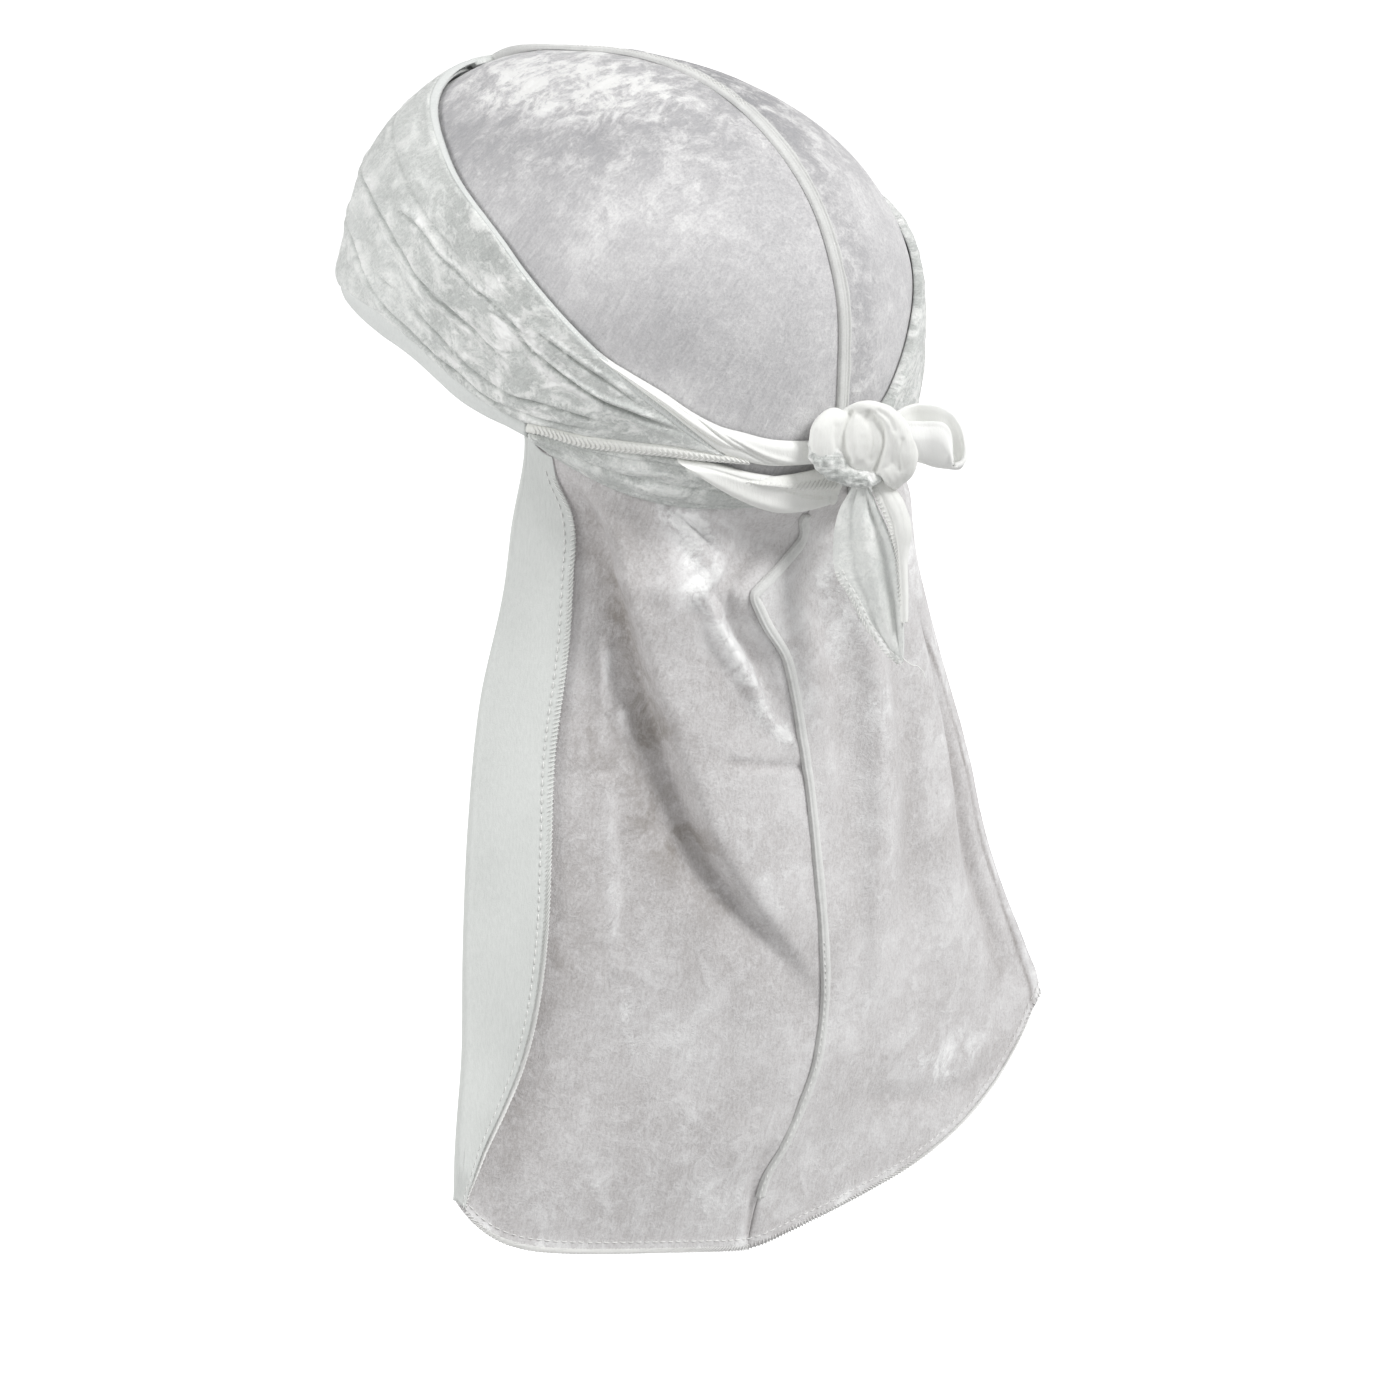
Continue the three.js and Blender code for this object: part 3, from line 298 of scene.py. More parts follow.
def add_mesh(name, verts, faces, materials, face_material=None, tones=None):
    """A piece from points in mm, riding on the body."""
    me = bpy.data.meshes.new(name)
    co = (np.asarray(verts, float) - [0, 0, CROWN_HEIGHT]) / 1000
    me.from_pydata(co.tolist(), [], [tuple(f) for f in faces])
    for m in materials:
        me.materials.append(m)
    if face_material is not None:
        me.polygons.foreach_set("material_index", np.asarray(face_material, np.int32))
    for key, values in (tones or {}).items():
        if key == "flow":
            layer = me.attributes.new(key, "FLOAT_VECTOR", "POINT")
            layer.data.foreach_set("vector", np.asarray(values, np.float32).ravel())
        else:
            layer = me.attributes.new(key, "FLOAT", "POINT")
            layer.data.foreach_set("value", np.asarray(values, np.float32))
    bm = bmesh.new()
    bm.from_mesh(me)
    bmesh.ops.remove_doubles(bm, verts=bm.verts, dist=1e-7)
    bmesh.ops.recalc_face_normals(bm, faces=bm.faces)
    bm.to_mesh(me)
    bm.free()
    me.validate()
    me.polygons.foreach_set("use_smooth", np.full(len(me.polygons), True))
    obj = bpy.data.objects.new(name, me)
    bpy.context.scene.collection.objects.link(obj)
    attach(obj, "root")
    return obj


def quads(rows, columns, first=0, flip=False):
    i = np.arange(rows - 1)[:, None] * columns + np.arange(columns - 1)[None, :] + first
    i = i.ravel()
    faces = np.stack([i, i + columns, i + columns + 1, i + 1], axis=1)
    return faces[:, ::-1] if flip else faces


def add_sheet(name, outer, inner, front, back=None, tones=None):
    """A closed cloth between two grids of points."""
    rows, columns = outer.shape[:2]
    count = rows * columns
    verts = np.concatenate([outer.reshape(-1, 3), inner.reshape(-1, 3)])
    top = quads(rows, columns)
    bottom = quads(rows, columns, count, True)
    i = np.arange(rows - 1) * columns
    j = np.arange(columns - 1)
    last = (rows - 1) * columns
    e = columns - 1
    sides = np.concatenate([
        np.stack([i, i + count, i + columns + count, i + columns], 1),
        np.stack([i + e + count, i + e, i + columns + e, i + columns + e + count], 1),
        np.stack([j + count, j, j + 1, j + 1 + count], 1),
        np.stack([last + j, last + j + count, last + j + 1 + count, last + j + 1], 1)])
    faces = np.concatenate([top, bottom, sides])
    kinds = np.concatenate([np.zeros(len(top)), np.ones(len(bottom)), np.zeros(len(sides))])
    tones = {k: np.concatenate([v.reshape(count, -1)] * 2).squeeze(-1) if k != "flow"
             else np.concatenate([v.reshape(count, 3)] * 2) for k, v in (tones or {}).items()}
    return add_mesh(name, verts, faces, [front, back or front], kinds, tones)


def tube(path, radius, sides, first):
    """Points and faces of a closed round thread along a path."""
    path = np.asarray(path, float)
    hint = np.array([0.1, 0.2, 1.0])
    n = len(path)
    radius = np.broadcast_to(radius, (n,))
    way = unit(np.gradient(path, axis=0))
    side = unit(np.cross(way, np.broadcast_to(hint, way.shape)))
    other = np.cross(way, side)
    a = np.arange(sides) * 2 * math.pi / sides
    ring = (path[:, None] + radius[:, None, None]
            * (np.cos(a)[None, :, None] * side[:, None] + np.sin(a)[None, :, None] * other[:, None]))
    verts = ring.reshape(-1, 3)
    faces = []
    for i in range(n - 1):
        for k in range(sides):
            m = (k + 1) % sides
            faces.append((first + i * sides + k, first + i * sides + m,
                          first + (i + 1) * sides + m, first + (i + 1) * sides + k))
    faces.append(tuple(first + k for k in range(sides - 1, -1, -1)))
    faces.append(tuple(first + (n - 1) * sides + k for k in range(sides)))
    return verts, faces


def add_threads(name, paths, radius, sides):
    verts, faces, count = [], [], 0
    for path in paths:
        v, f = tube(path, radius, sides, count)
        verts.append(v)
        faces += f
        count += len(v)
    return add_mesh(name, np.concatenate(verts), faces, [thread])


def travelled(path):
    """The distance along a path to each of its points."""
    return np.concatenate([[0], np.cumsum(np.linalg.norm(np.diff(path, axis=0), axis=1))])


def resample(path, step):
    path = np.asarray(path, float)
    far = travelled(path)
    count = max(2, int(round(far[-1] / step)) + 1)
    at = np.linspace(0, far[-1], count)
    return np.column_stack([np.interp(at, far, path[:, k]) for k in range(3)])


def stitch_paths(path, normal, pitch, length, sink=0.12, lift=0.2):
    """Short arched stitches along a path."""
    middle = resample(path, pitch)
    way = unit(np.gradient(middle, axis=0))
    out = resample_like(path, normal, middle)
    paths = []
    for p, w, n in zip(middle, way, out):
        t = np.linspace(-0.5, 0.5, 4)[:, None]
        arch = (1 - (2 * t) ** 2) * (lift + sink) - sink
        paths.append(p + w * t * length + n * arch)
    return paths


def resample_like(path, values, target):
    far = travelled(path)
    at = np.linspace(0, far[-1], len(target))
    return unit(np.column_stack([np.interp(at, far, values[:, k]) for k in range(3)]))


# Materials
def material(name):
    m = bpy.data.materials.new(name)
    m.use_nodes = True
    m.node_tree.nodes.clear()
    return m


class Graph:
    def __init__(self, mat):
        self.tree = mat.node_tree

    def add(self, kind, inputs=None, **props):
        node = self.tree.nodes.new(kind)
        for key, value in props.items():
            setattr(node, key, value)
        for key, value in (inputs or {}).items():
            if isinstance(value, bpy.types.NodeSocket):
                self.tree.links.new(value, node.inputs[key])
            else:
                node.inputs[key].default_value = value
        return node

    def math(self, operation, a, b):
        return self.add("ShaderNodeMath", {0: a, 1: b}, operation=operation).outputs[0]

    def swing(self, value, pattern, amount):
        """A value plus a pattern's swing about its middle, times an amount."""
        return self.math("ADD", value, self.math("MULTIPLY", self.math("SUBTRACT", pattern, 0.5), amount))

    def noise(self, vector, scale, detail, rough, distortion=0.0):
        return self.add("ShaderNodeTexNoise", {
            "Vector": vector, "Scale": scale, "Detail": detail, "Roughness": rough,
            "Distortion": distortion}).outputs["Fac"]

    def ramp(self, value, stops):
        node = self.add("ShaderNodeValToRGB", {"Fac": value})
        elements = node.color_ramp.elements
        elements[0].position, elements[0].color = stops[0][0], (*stops[0][1], 1)
        elements[1].position, elements[1].color = stops[-1][0], (*stops[-1][1], 1)
        for place, colour in stops[1:-1]:
            elements.new(place).color = (*colour, 1)
        return node.outputs["Color"]

    def attribute(self, name):
        return self.add("ShaderNodeAttribute", attribute_name=name).outputs["Fac"]

    def mapped(self, scale, rotation=(0, 0, 0)):
        place = self.add("ShaderNodeTexCoord").outputs["Object"]
        turned = self.add("ShaderNodeMapping", {"Vector": place, "Rotation": rotation})
        return self.add("ShaderNodeMapping", {"Vector": turned.outputs[0], "Scale": scale}).outputs[0]


def velvet(name, stops, size, streak_turn, ragged=0.12, crush=1.0, grain=1.0, flow=False):
    """Crushed velvet: brushed patches of pile, fine nap, and a sheen at its folds."""
    m = material(name)
    g = Graph(m)
    place = g.mapped((1000, 1000, 1000))
    run = g.add("ShaderNodeAttribute", attribute_name="flow").outputs["Vector"] if flow else place
    broad = g.noise(place, 0.03, 2.0, 0.5, 0.3)
    patch = g.noise(run, size, 9.0, 0.74, 0.5)
    flake = g.noise(run, size * 2.6, 7.0, 0.72, 0.6)
    nap = g.noise(g.mapped((1000, 1000, 170), streak_turn), 1.0, 2.0, 0.65)
    fine = g.noise(place, 1.25, 3.0, 0.8)
    # the tone attribute carries the pile's patches together with painted shade, highlights and sheen
    tone = g.attribute("tone")
    crushed = g.attribute("crush")

    def torn(value, middle):
        return g.add("ShaderNodeMapRange", {
            "Value": value, "From Min": middle - ragged, "From Max": middle + ragged, "To Min": -0.5,
            "To Max": 0.5}, interpolation_type="SMOOTHSTEP").outputs[0]

    sharp = torn(patch, 0.52)
    flakes = torn(flake, 0.55)
    uneven = g.math("ADD", 0.75, g.math("MULTIPLY", sharp, 0.9))
    value = g.math("ADD", 0.5, g.math("MULTIPLY", tone, uneven))
    value = g.swing(value, broad, 0.3)
    value = g.math("ADD", value, g.math("MULTIPLY", sharp, g.math("MULTIPLY", crushed, 0.42 * crush)))
    value = g.math("ADD", value, g.math("MULTIPLY", flakes, g.math("MULTIPLY", crushed, 0.34 * crush)))
    value = g.swing(value, nap, 0.36 * grain)
    value = g.swing(value, fine, 0.62 * grain)
    height = g.math("MULTIPLY", g.math("ADD", sharp, flakes), crushed)
    height = g.math("ADD", height, g.math("MULTIPLY", g.math("ADD", nap, fine), 0.7))
    bump = g.add("ShaderNodeBump", {"Height": height, "Strength": 0.6, "Distance": 0.0004})
    rough = g.math("ADD", g.math("MULTIPLY", value, -0.2), 0.68)
    shader = g.add("ShaderNodeBsdfPrincipled", {
        "Base Color": g.ramp(value, stops), "Roughness": rough, "Normal": bump.outputs[0],
        "Sheen Weight": 0.3, "Sheen Roughness": 0.45, "Specular IOR Level": 0.35})
    g.add("ShaderNodeOutputMaterial", {"Surface": shader.outputs[0]})
    return m


def knit(name, stops, ribs=(1400, 1400, 300)):
    """Matte knit, the velvet's wrong side: fine ribs and a faint mottle."""
    m = material(name)
    g = Graph(m)
    place = g.mapped((1000, 1000, 1000))
    broad = g.noise(place, 0.05, 2.0, 0.5)
    rib = g.noise(g.mapped(ribs), 1.0, 2.0, 0.6)
    fine = g.noise(place, 2.6, 2.0, 0.7)
    # the tone attribute carries painted shade in the knot's folds and along the seams
    value = g.math("ADD", 0.5, g.attribute("tone"))
    value = g.swing(value, broad, 0.25)
    value = g.swing(value, rib, 0.4)
    value = g.swing(value, fine, 0.25)
    height = g.math("ADD", rib, g.math("MULTIPLY", fine, 0.6))
    bump = g.add("ShaderNodeBump", {"Height": height, "Strength": 0.35, "Distance": 0.0003})
    shader = g.add("ShaderNodeBsdfPrincipled", {
        "Base Color": g.ramp(value, stops), "Roughness": 0.86, "Normal": bump.outputs[0],
        "Sheen Weight": 0.2, "Sheen Roughness": 0.6, "Specular IOR Level": 0.2})
    g.add("ShaderNodeOutputMaterial", {"Surface": shader.outputs[0]})
    return m


CROWN_STOPS = [(0.0, (0.36, 0.36, 0.375)), (0.3, (0.49, 0.485, 0.495)), (0.5, (0.62, 0.613, 0.62)),
               (0.72, (0.78, 0.775, 0.775)), (1.0, (0.96, 0.96, 0.945))]
WRAP_STOPS = [(0.0, (0.46, 0.48, 0.465)), (0.3, (0.62, 0.64, 0.62)), (0.5, (0.76, 0.78, 0.76)),
              (0.75, (0.89, 0.905, 0.88)), (1.0, (0.99, 0.995, 0.98))]
# its warm dark low end colours the painted shade in the tail's fold valleys, standing in for warm light
# bounced there
TAIL_STOPS = [(0.0, (0.33, 0.305, 0.285)), (0.3, (0.50, 0.48, 0.475)), (0.5, (0.67, 0.655, 0.655)),
              (0.75, (0.81, 0.805, 0.805)), (1.0, (0.96, 0.96, 0.955))]
# its creamy low end colours the painted shade in the knot's folds
KNIT_STOPS = [(0.0, (0.66, 0.66, 0.60)), (0.5, (0.865, 0.87, 0.84)), (1.0, (0.97, 0.975, 0.955))]
CUFF_STOPS = [(0.0, (0.52, 0.54, 0.525)), (0.5, (0.70, 0.72, 0.70)), (1.0, (0.86, 0.88, 0.86))]
SEAM_STOPS = [(0.0, (0.50, 0.50, 0.49)), (0.5, (0.73, 0.735, 0.72)), (1.0, (0.88, 0.885, 0.87))]
HEM_STOPS = [(0.0, (0.55, 0.57, 0.56)), (0.5, (0.73, 0.75, 0.735)), (1.0, (0.87, 0.89, 0.87))]
THREAD_STOPS = [(0.0, (0.7, 0.7, 0.68)), (0.5, (0.86, 0.86, 0.84)), (1.0, (0.96, 0.96, 0.95))]

crown_velvet = velvet("crown_velvet", CROWN_STOPS, size=0.09, streak_turn=(0.36, 0.39, 0.0))
wrap_velvet = velvet("wrap_velvet", WRAP_STOPS, size=0.13, ragged=0.08, crush=0.95, grain=1.3,
                     streak_turn=(0.9, 0.2, 0.5), flow=True)
tail_velvet = velvet("tail_velvet", TAIL_STOPS, size=0.08, ragged=0.09, crush=0.55, grain=0.85,
                     streak_turn=(0.3, 0.1, 0.2))
end_velvet = velvet("end_velvet", WRAP_STOPS, size=0.09, crush=0.3, grain=0.7, streak_turn=(0.3, 0.1, 0.2))
white_knit = knit("white_knit", KNIT_STOPS)
cuff_knit = knit("cuff_knit", CUFF_STOPS)
hem_knit = knit("hem_knit", HEM_STOPS, ribs=(900, 900, 900))
seam_cloth = knit("seam_cloth", SEAM_STOPS, ribs=(1500, 1500, 1500))
thread = knit("thread", THREAD_STOPS)


# Crown
def crown_edge(bearing):
    front = np.maximum(curve(HEM_LINE, bearing), curve(FRONT_HEM, bearing)) + 0.9
    back = curve(NAPE_LINE, bearing) + 0.6 - 0.3 * smooth(117, 124, bearing)
    return np.where(np.asarray(bearing) < HEM_LINE[-1][0], front, back)


# Painted light and patches of the crown: painted highlights over the top, in the middle of the left half and
# on the right half, painted shade low on the left half, and a greyer patchy band below the top: bearing,
# height, reach in mm, tone, for the left half then the right
CROWN_LIGHT_AND_PATCHES = [
    (208, 42, 22, 0.12), (215, 18, 20, 0.12), (95, 40, 30, -0.04), (130, 35, 26, -0.04), (80, 74, 24, 0.42),
    (112, 68, 20, 0.40), (35, 60, 18, 0.34), (143, 64, 15, 0.30), (60, 62, 12, 0.24), (160, 56, 10, 0.16),
    (152, 44, 9, 0.10), (48, 46, 9, -0.28), (62, 50, 9, -0.30), (80, 53, 8, -0.24), (100, 54, 9, -0.30),
    (118, 53, 8, -0.26), (134, 50, 8, -0.16), (70, 42, 9, -0.14), (90, 44, 8, -0.12), (112, 44, 8, -0.10),
    (140, 30, 16, 0.16), (128, 22, 14, 0.12), (152, 22, 12, 0.12), (104, 34, 12, 0.06), (112, 24, 9, -0.02),
    (118, 14, 10, -0.14), (128, 4, 10, -0.08), (146, 6, 12, -0.14), (160, 0, 12, -0.08),
    (150, -10, 14, 0.03), (160, 30, 8, 0.06), (196, 66, 7, -0.10), (200, 58, 8, 0.0), (208, 48, 10, 0.16),
    (194, 34, 8, 0.16), (214, 40, 8, -0.08), (200, 20, 14, -0.02), (208, 4, 12, 0.06)]


def tone_from(p, rows, outside):
    tone = np.zeros(p.shape[:-1])
    for bearing, height, reach, amount in rows:
        middle = head_point(bearing, height, outside)
        d = np.linalg.norm(p - middle, axis=-1)
        tone += amount * np.exp(-(d / reach) ** 2)
    return tone


def crown_half(side):
    b = np.linspace(0, 180, 161)[:, None]
    s = np.linspace(0, 1, 81)[None, :]
    low = crown_edge(b)
    h = low + (90 - low) * s
    flat = head_point(b, h, CLOTH)
    p = flat * [side, 1, 1]
    from_seam = np.abs(flat[..., 0])
    pucker = bell(from_seam, 6.5, 3.2) * (0.35 + 0.65 * noise(p, 9, 3 if side > 0 else 4, 2))
    relief = pucker * (0.5 if side > 0 else 1.1) + 0.35 * noise(p, 22, 5, 2)
    under = smooth(0, 12, h - low)
    relief = relief * under + swell(b, h) * 0.9
    outer = head_point(b, h, CLOTH + relief)
    inner = head_point(b, h, swell(b, h) * 0.8)
    for g in (outer, inner):
        g[..., 0] = (np.abs(g[..., 0]) + JOIN_GAP / 2) * side
    # painted highlights and shade of the crown, with random tone
    tone = tone_from(p, CROWN_LIGHT_AND_PATCHES, CLOTH) + 0.10 * noise(p, 16, 11, 2)
    crush = 0.25 + 0.75 * smooth(22, 58, h) + 0.5 * bell(from_seam, 8, 8) * (side < 0)
    name = "crown_left_cloth" if side > 0 else "crown_right_cloth"
    return add_sheet(name, outer, inner, crown_velvet, hem_knit, {"tone": tone, "crush": crush})


def seam_place(turn, side, outside):
    p = np.where((turn < 90)[..., None], head_point(0, turn, outside),
                 head_point(180, 180 - turn, outside))
    p[..., 0] = side
    return p


seam_lines = []


def crown_seam():
    """The raised seam over the crown, from the straps' crossing to the knot."""
    start = CROWN_SEAM_START
    turn = np.linspace(start, CROWN_SEAM_END, 330)[:, None]
    share = np.linspace(-1, 1, 23)[None, :]
    way = turn[:, 0] * 1.5
    wave = np.stack([way, way * 0, way * 0], axis=-1)
    middle = (0.4 * noise(wave, 16, 21))[:, None]
    rough = (noise(wave, 4.2, 22, 2))[:, None]
    half = 2.35 + 0.2 * noise(wave, 20, 23)[:, None]
    side = middle - share * half
    side = side - np.where(share > 0.5, rough * (share - 0.5) * 1.5, 0)
    edge = np.clip(1 - np.abs(share), 0, 1)
    rise = 0.8 * np.sqrt(np.clip(1 - (1 - np.clip(edge / 0.3, 0, 1)) ** 2, 0, 1))
    rise = (rise + 0.15 * bell(share, -0.4, 0.4) - 0.35 * bell(share, 0.45, 0.12)
            - 0.2 * bell(share, -0.1, 0.1))
    rise = rise + 0.2 * rough * smooth(0.3, 0.8, share)
    over_roll = smooth(start, start + 4, turn) * (1 - smooth(start + 6, start + 24, turn))
    stand = swell(0, turn) * 0.9 * (turn < 90) + 2.4 * over_roll
    p = seam_place(turn, side, CLOTH + 0.5 + stand + np.maximum(rise, 0.02))
    base = seam_place(turn, side, CLOTH + 0.1 + swell(0, turn) * 0.85 * (turn < 90) + 0 * rise)
    # painted shade in the seam's two grooves, the seam a little darker overall, and random tone
    tone = -0.2 * bell(share, 0.45, 0.12) - 0.12 * bell(share, -0.1, 0.1) + 0.10 * rough - 0.12 + 0 * turn
    tone = tone + 0.08 * noise(p, 2.4, 25, 2)
    seam_lines.append((p[:, 3], p[:, 8], p[:, 14]))
    return add_sheet("crown_seam_cloth", p, base, seam_cloth, None, {"tone": tone, "crush": 0.2 + 0 * tone})


# Straps
def strap_grid(rows, base, thickness, bearings, shares, lift):
    """A strap on the head between the edges of its table. lift(b, s, width) is its relief in mm."""
    b = bearings[:, None]
    s = shares[None, :]
    high = curve(rows, b, 1)
    low = curve(rows, b, 2)
    h = low + (high - low) * s
    width = np.linalg.norm(head_point(b, high, CLOTH) - head_point(b, low, CLOTH), axis=-1)
    edge = np.minimum(s, 1 - s) * width
    soft = 0.25 + 0.75 * np.sqrt(np.clip(1 - (1 - np.clip(edge / 2.2, 0, 1)) ** 2, 0, 1))
    base = base + swell(b, h)
    outer_lift = base + thickness * soft + lift(b, s, width) * smooth(0, 1.2, edge)
    outer = head_point(b, h, outer_lift)
    inner = head_point(b, h, base)
    return outer, inner, width


def crease_ends(rows, b, rise):
    """A crease's strength at a bearing: it rises over some degrees and fades at its end."""
    return smooth(rows[0][0] - 2, rows[0][0] + rise, b) * (1 - smooth(rows[-1][0] - 8, rows[-1][0] + 1, b))


def pleat_relief(side):
    rows_of = WRAP_LEFT if side > 0 else WRAP_RIGHT

    def lift(b, s, width):
        total = np.zeros(np.broadcast(b, s).shape)
        low, high = curve(rows_of, b, 2), curve(rows_of, b, 1)
        h = low + (high - low) * s
        for rows, depth, wide in CREASES:
            line = curve(rows, b)
            on = crease_ends(rows, b, 10)
            d = (h - line) * 1.6 * (0.75 + 0.25 * np.cos(np.radians(b)) ** 2)
            total += on * depth * (-bell(d, 0, wide * 0.5) + 0.7 * bell(d, 1.9 * wide, 1.5 * wide)
                                   + 0.55 * bell(d, -2.6 * wide, 2.0 * wide))
        total *= 0.55 + 0.45 * smooth(35, 62, b)
        p = head_point(b, h, 0) * [side, 1, 1]
        room = smooth(4, 26, width) * smooth(20, 50, b)
        total += (0.45 * noise(p * [1, 1, 1.3], 5, 31, 3) + 0.25 * noise(p, 22, 32)) * room
        return 0.7 + total
    return lift


# Lighter and darker patches on the straps, with small bright flakes: bearing, height, reach in mm, tone
WRAP_TONES = [
    (112, 0, 12, 0.08), (98, 18, 12, 0.08), (80, 25, 12, 0.06), (55, 15, 18, -0.04), (112, 3, 3, 0.45),
    (120, -3.4, 3, 0.4), (99, -8, 3, 0.35), (106, 0.5, 3, 0.4), (124, -9, 3, 0.3), (115, -6, 4, -0.14),
    (128, -2, 3, -0.12), (101, -1.5, 4, -0.14), (108, -10.5, 3, 0.3), (118, 6.5, 3, 0.3), (86, 9, 5, 0.14),
    (118, 1.5, 4, 0.35), (131, -5.4, 4, 0.35), (110, -8, 4, 0.3), (104, -5.5, 4, 0.22), (94, -3, 4, 0.2),
    (40, 36, 14, 0.08), (76, 20, 10, 0.10), (88, 2, 9, 0.16), (98, 4, 9, 0.14), (108, -3, 9, 0.16),
    (105, 8, 8, 0.14), (116, -2, 8, 0.16), (122, -8, 8, 0.12), (112, 12, 7, 0.20), (120, 2, 7, 0.16),
    (90, 22, 10, -0.05), (60, 30, 16, -0.03), (55, 12, 14, 0.06), (70, -1, 8, 0.08), (128, -6, 8, 0.08),
    (134, -10, 8, 0.02), (100, 20, 9, -0.06), (115, -12, 8, 0.05)]


def painted_crease_shade_and_sheen(rows_of, bearings, shares):
    """Painted shade in a crease and a painted sheen on the folds beside it."""
    b = bearings[:, None]
    h = curve(rows_of, b, 2) + (curve(rows_of, b, 1) - curve(rows_of, b, 2)) * shares[None, :]
    tone = np.zeros(h.shape)
    for rows, depth, _ in CREASES:
        on = crease_ends(rows, b, 14)
        d = (h - curve(rows, b)) * 1.6
        beside = 0.14 * bell(d, 2.2, 1.2) + 0.08 * bell(d, -2.4, 1.4)
        tone += on * min(depth, 1.5) * (beside - 0.42 * bell(d, 0, 0.55))
    return tone


def cloth_flow(outer, shares, width, apart):
    """Places on the unrolled strap in mm, half as long as it is, for the pile's pattern."""
    shape = outer.shape[:2]
    along = travelled(outer.mean(axis=1))[:, None] * 0.5
    return np.stack([np.broadcast_to(along, shape), shares[None, :] * width,
                     np.full(shape, float(apart))], axis=-1)


def wrap(side):
    """The faces and looks of the wide strap on one side."""
    rows = WRAP_LEFT if side > 0 else WRAP_RIGHT
    bearings = np.linspace(rows[0][0], rows[-1][0], 240)
    shares = np.linspace(0, 1, 171)
    outer, inner, width = strap_grid(rows, LYING, 2.4, bearings, shares, pleat_relief(side))
    outer, inner = outer * [side, 1, 1], inner * [side, 1, 1]
    tone = tone_from(outer, WRAP_TONES, CLOTH + 4) + 0.10 * noise(outer, 14, 33, 2) + 0.09
    # painted shade in the creases and painted sheen on the folds beside them
    tone += painted_crease_shade_and_sheen(rows, bearings, shares)
    crush = 0.55 + 0.45 * smooth(70, 100, bearings)[:, None] + 0 * tone
    return outer, inner, {"tone": tone, "crush": crush, "flow": cloth_flow(outer, shares, width, 0)}


def band(name, rows, base, thickness, finish, lift, columns, step=0.8, tone=0.0, side=1, crush=0.7):
    """A narrow strap or trim on the head, with its outer face."""
    bearings = np.linspace(rows[0][0], rows[-1][0], int((rows[-1][0] - rows[0][0]) / step) + 2)
    shares = np.linspace(0, 1, columns)
    outer, inner, width = strap_grid(rows, base, thickness, bearings, shares, lift)
    outer, inner = outer * [side, 1, 1], inner * [side, 1, 1]
    t = tone + 0.05 * noise(outer, 10, 41, 2)
    looks = {"tone": t, "crush": crush + 0 * t, "flow": cloth_flow(outer, shares, width, 50)}
    return add_sheet(name, outer, inner, finish, finish, looks), outer


def folds(*lines):
    """Long folds: share at the start and end, height and width in mm, and where along the band they run."""
    def lift(b, s, width):
        t = (b - b.min()) / (b.max() - b.min())
        total = 0.4 * np.sin(math.pi * s) + 0 * b
        for line in lines:
            start, end, height, wide = line[:4]
            first, last = line[4:] if len(line) > 4 else (-1, 2)
            at = np.clip((t - max(first, 0)) / (min(last, 1) - max(first, 0)), 0, 1)
            on = smooth(first - 0.06, first + 0.06, t) * (1 - smooth(last - 0.06, last + 0.06, t))
            total = total + on * height * bell((s - start - (end - start) * at) * width, 0, wide)
        return total
    return lift


crown_left = crown_half(1)
crown_right = crown_half(-1)
seam = crown_seam()
left_outer, left_inner, left_looks = wrap(1)
wrap_left = add_sheet("wrap_left_cloth", left_outer, left_inner, wrap_velvet, hem_knit, left_looks)

_, roll_grid = band("wrap_left_roll", ROLL, LYING + 1.0, 1.5, hem_knit,
                       folds((0.3, 0.3, -0.25, 0.4)), columns=18, tone=-0.16)
strand_top, _ = band(
    "strand_top", STRAND_TOP, LYING, 2.6, white_knit,
    folds((0.86, 0.80, -0.6, 0.4, 0.0, 0.45), (0.66, 0.56, 0.6, 1.0, 0.05, 0.6),
          (0.48, 0.40, -0.8, 0.4, 0.1, 0.55), (0.92, 0.12, -0.8, 0.4, 0.42, 0.72),
          (0.92, 0.06, -0.7, 0.35, 0.5, 0.8), (0.95, 0.3, 0.6, 0.8, 0.46, 0.8),
          (0.16, 0.14, -0.5, 0.4, 0.0, 0.5)), columns=52, step=0.5, tone=0.26)
_, strand_hem_grid = band(
    "strand_hem", STRAND_HEM, LYING + 0.8, 2.0, white_knit,
    folds((0.82, 0.82, 0.35, 0.5), (0.18, 0.18, 0.35, 0.5), (0.5, 0.5, 0.15, 1.0)), columns=24, tone=-0.06)
band_low, _ = band(
    "under_wrap_band", BAND_LOW, LYING - 0.3, 2.4, wrap_velvet,
    folds((0.80, 0.84, -0.8, 0.5), (0.62, 0.66, 0.5, 1.2), (0.5, 0.42, -0.9, 0.5), (0.34, 0.3, 0.6, 1.4),
          (0.16, 0.12, -0.5, 0.5), (0.96, 0.3, -0.8, 0.5, 0.45, 0.95)), columns=56, tone=0.02, crush=0.9)
band_matte, band_matte_grid = band(
    "under_wrap_matte", BAND_MATTE, LYING + 1.2, 2.6, white_knit,
    folds((0.3, 0.25, 0.8, 1.8), (0.78, 0.9, -0.5, 0.5)), columns=40, tone=0.18)
band_stitched, band_stitched_grid = band(
    "under_wrap_stitched", BAND_STITCHED, LYING + 2.0, 2.2, white_knit,
    folds((0.62, 0.55, 0.5, 1.2), (0.30, 0.28, -0.4, 0.5)), columns=36, tone=-0.02, crush=0.5)


def front_hem():
    end = FRONT_HEM[-1][0]
    rows = []
    for b in np.linspace(-end, end, 81):
        a = abs(b)
        high = float(curve(WRAP_LEFT, a, 2)) + 0.8 - 1.2 * float(smooth(108, 117, a))
        rows.append((b, high, float(curve(FRONT_HEM, a))))
    return band("front_hem_cloth", rows, CLOTH + 0.2, 1.7, hem_knit,
                folds((0.16, 0.16, 0.25, 0.6), (0.6, 0.6, 0.15, 2.0)), columns=22, step=1.0)


hem, _ = front_hem()

right_outer, right_inner, right_looks = wrap(-1)
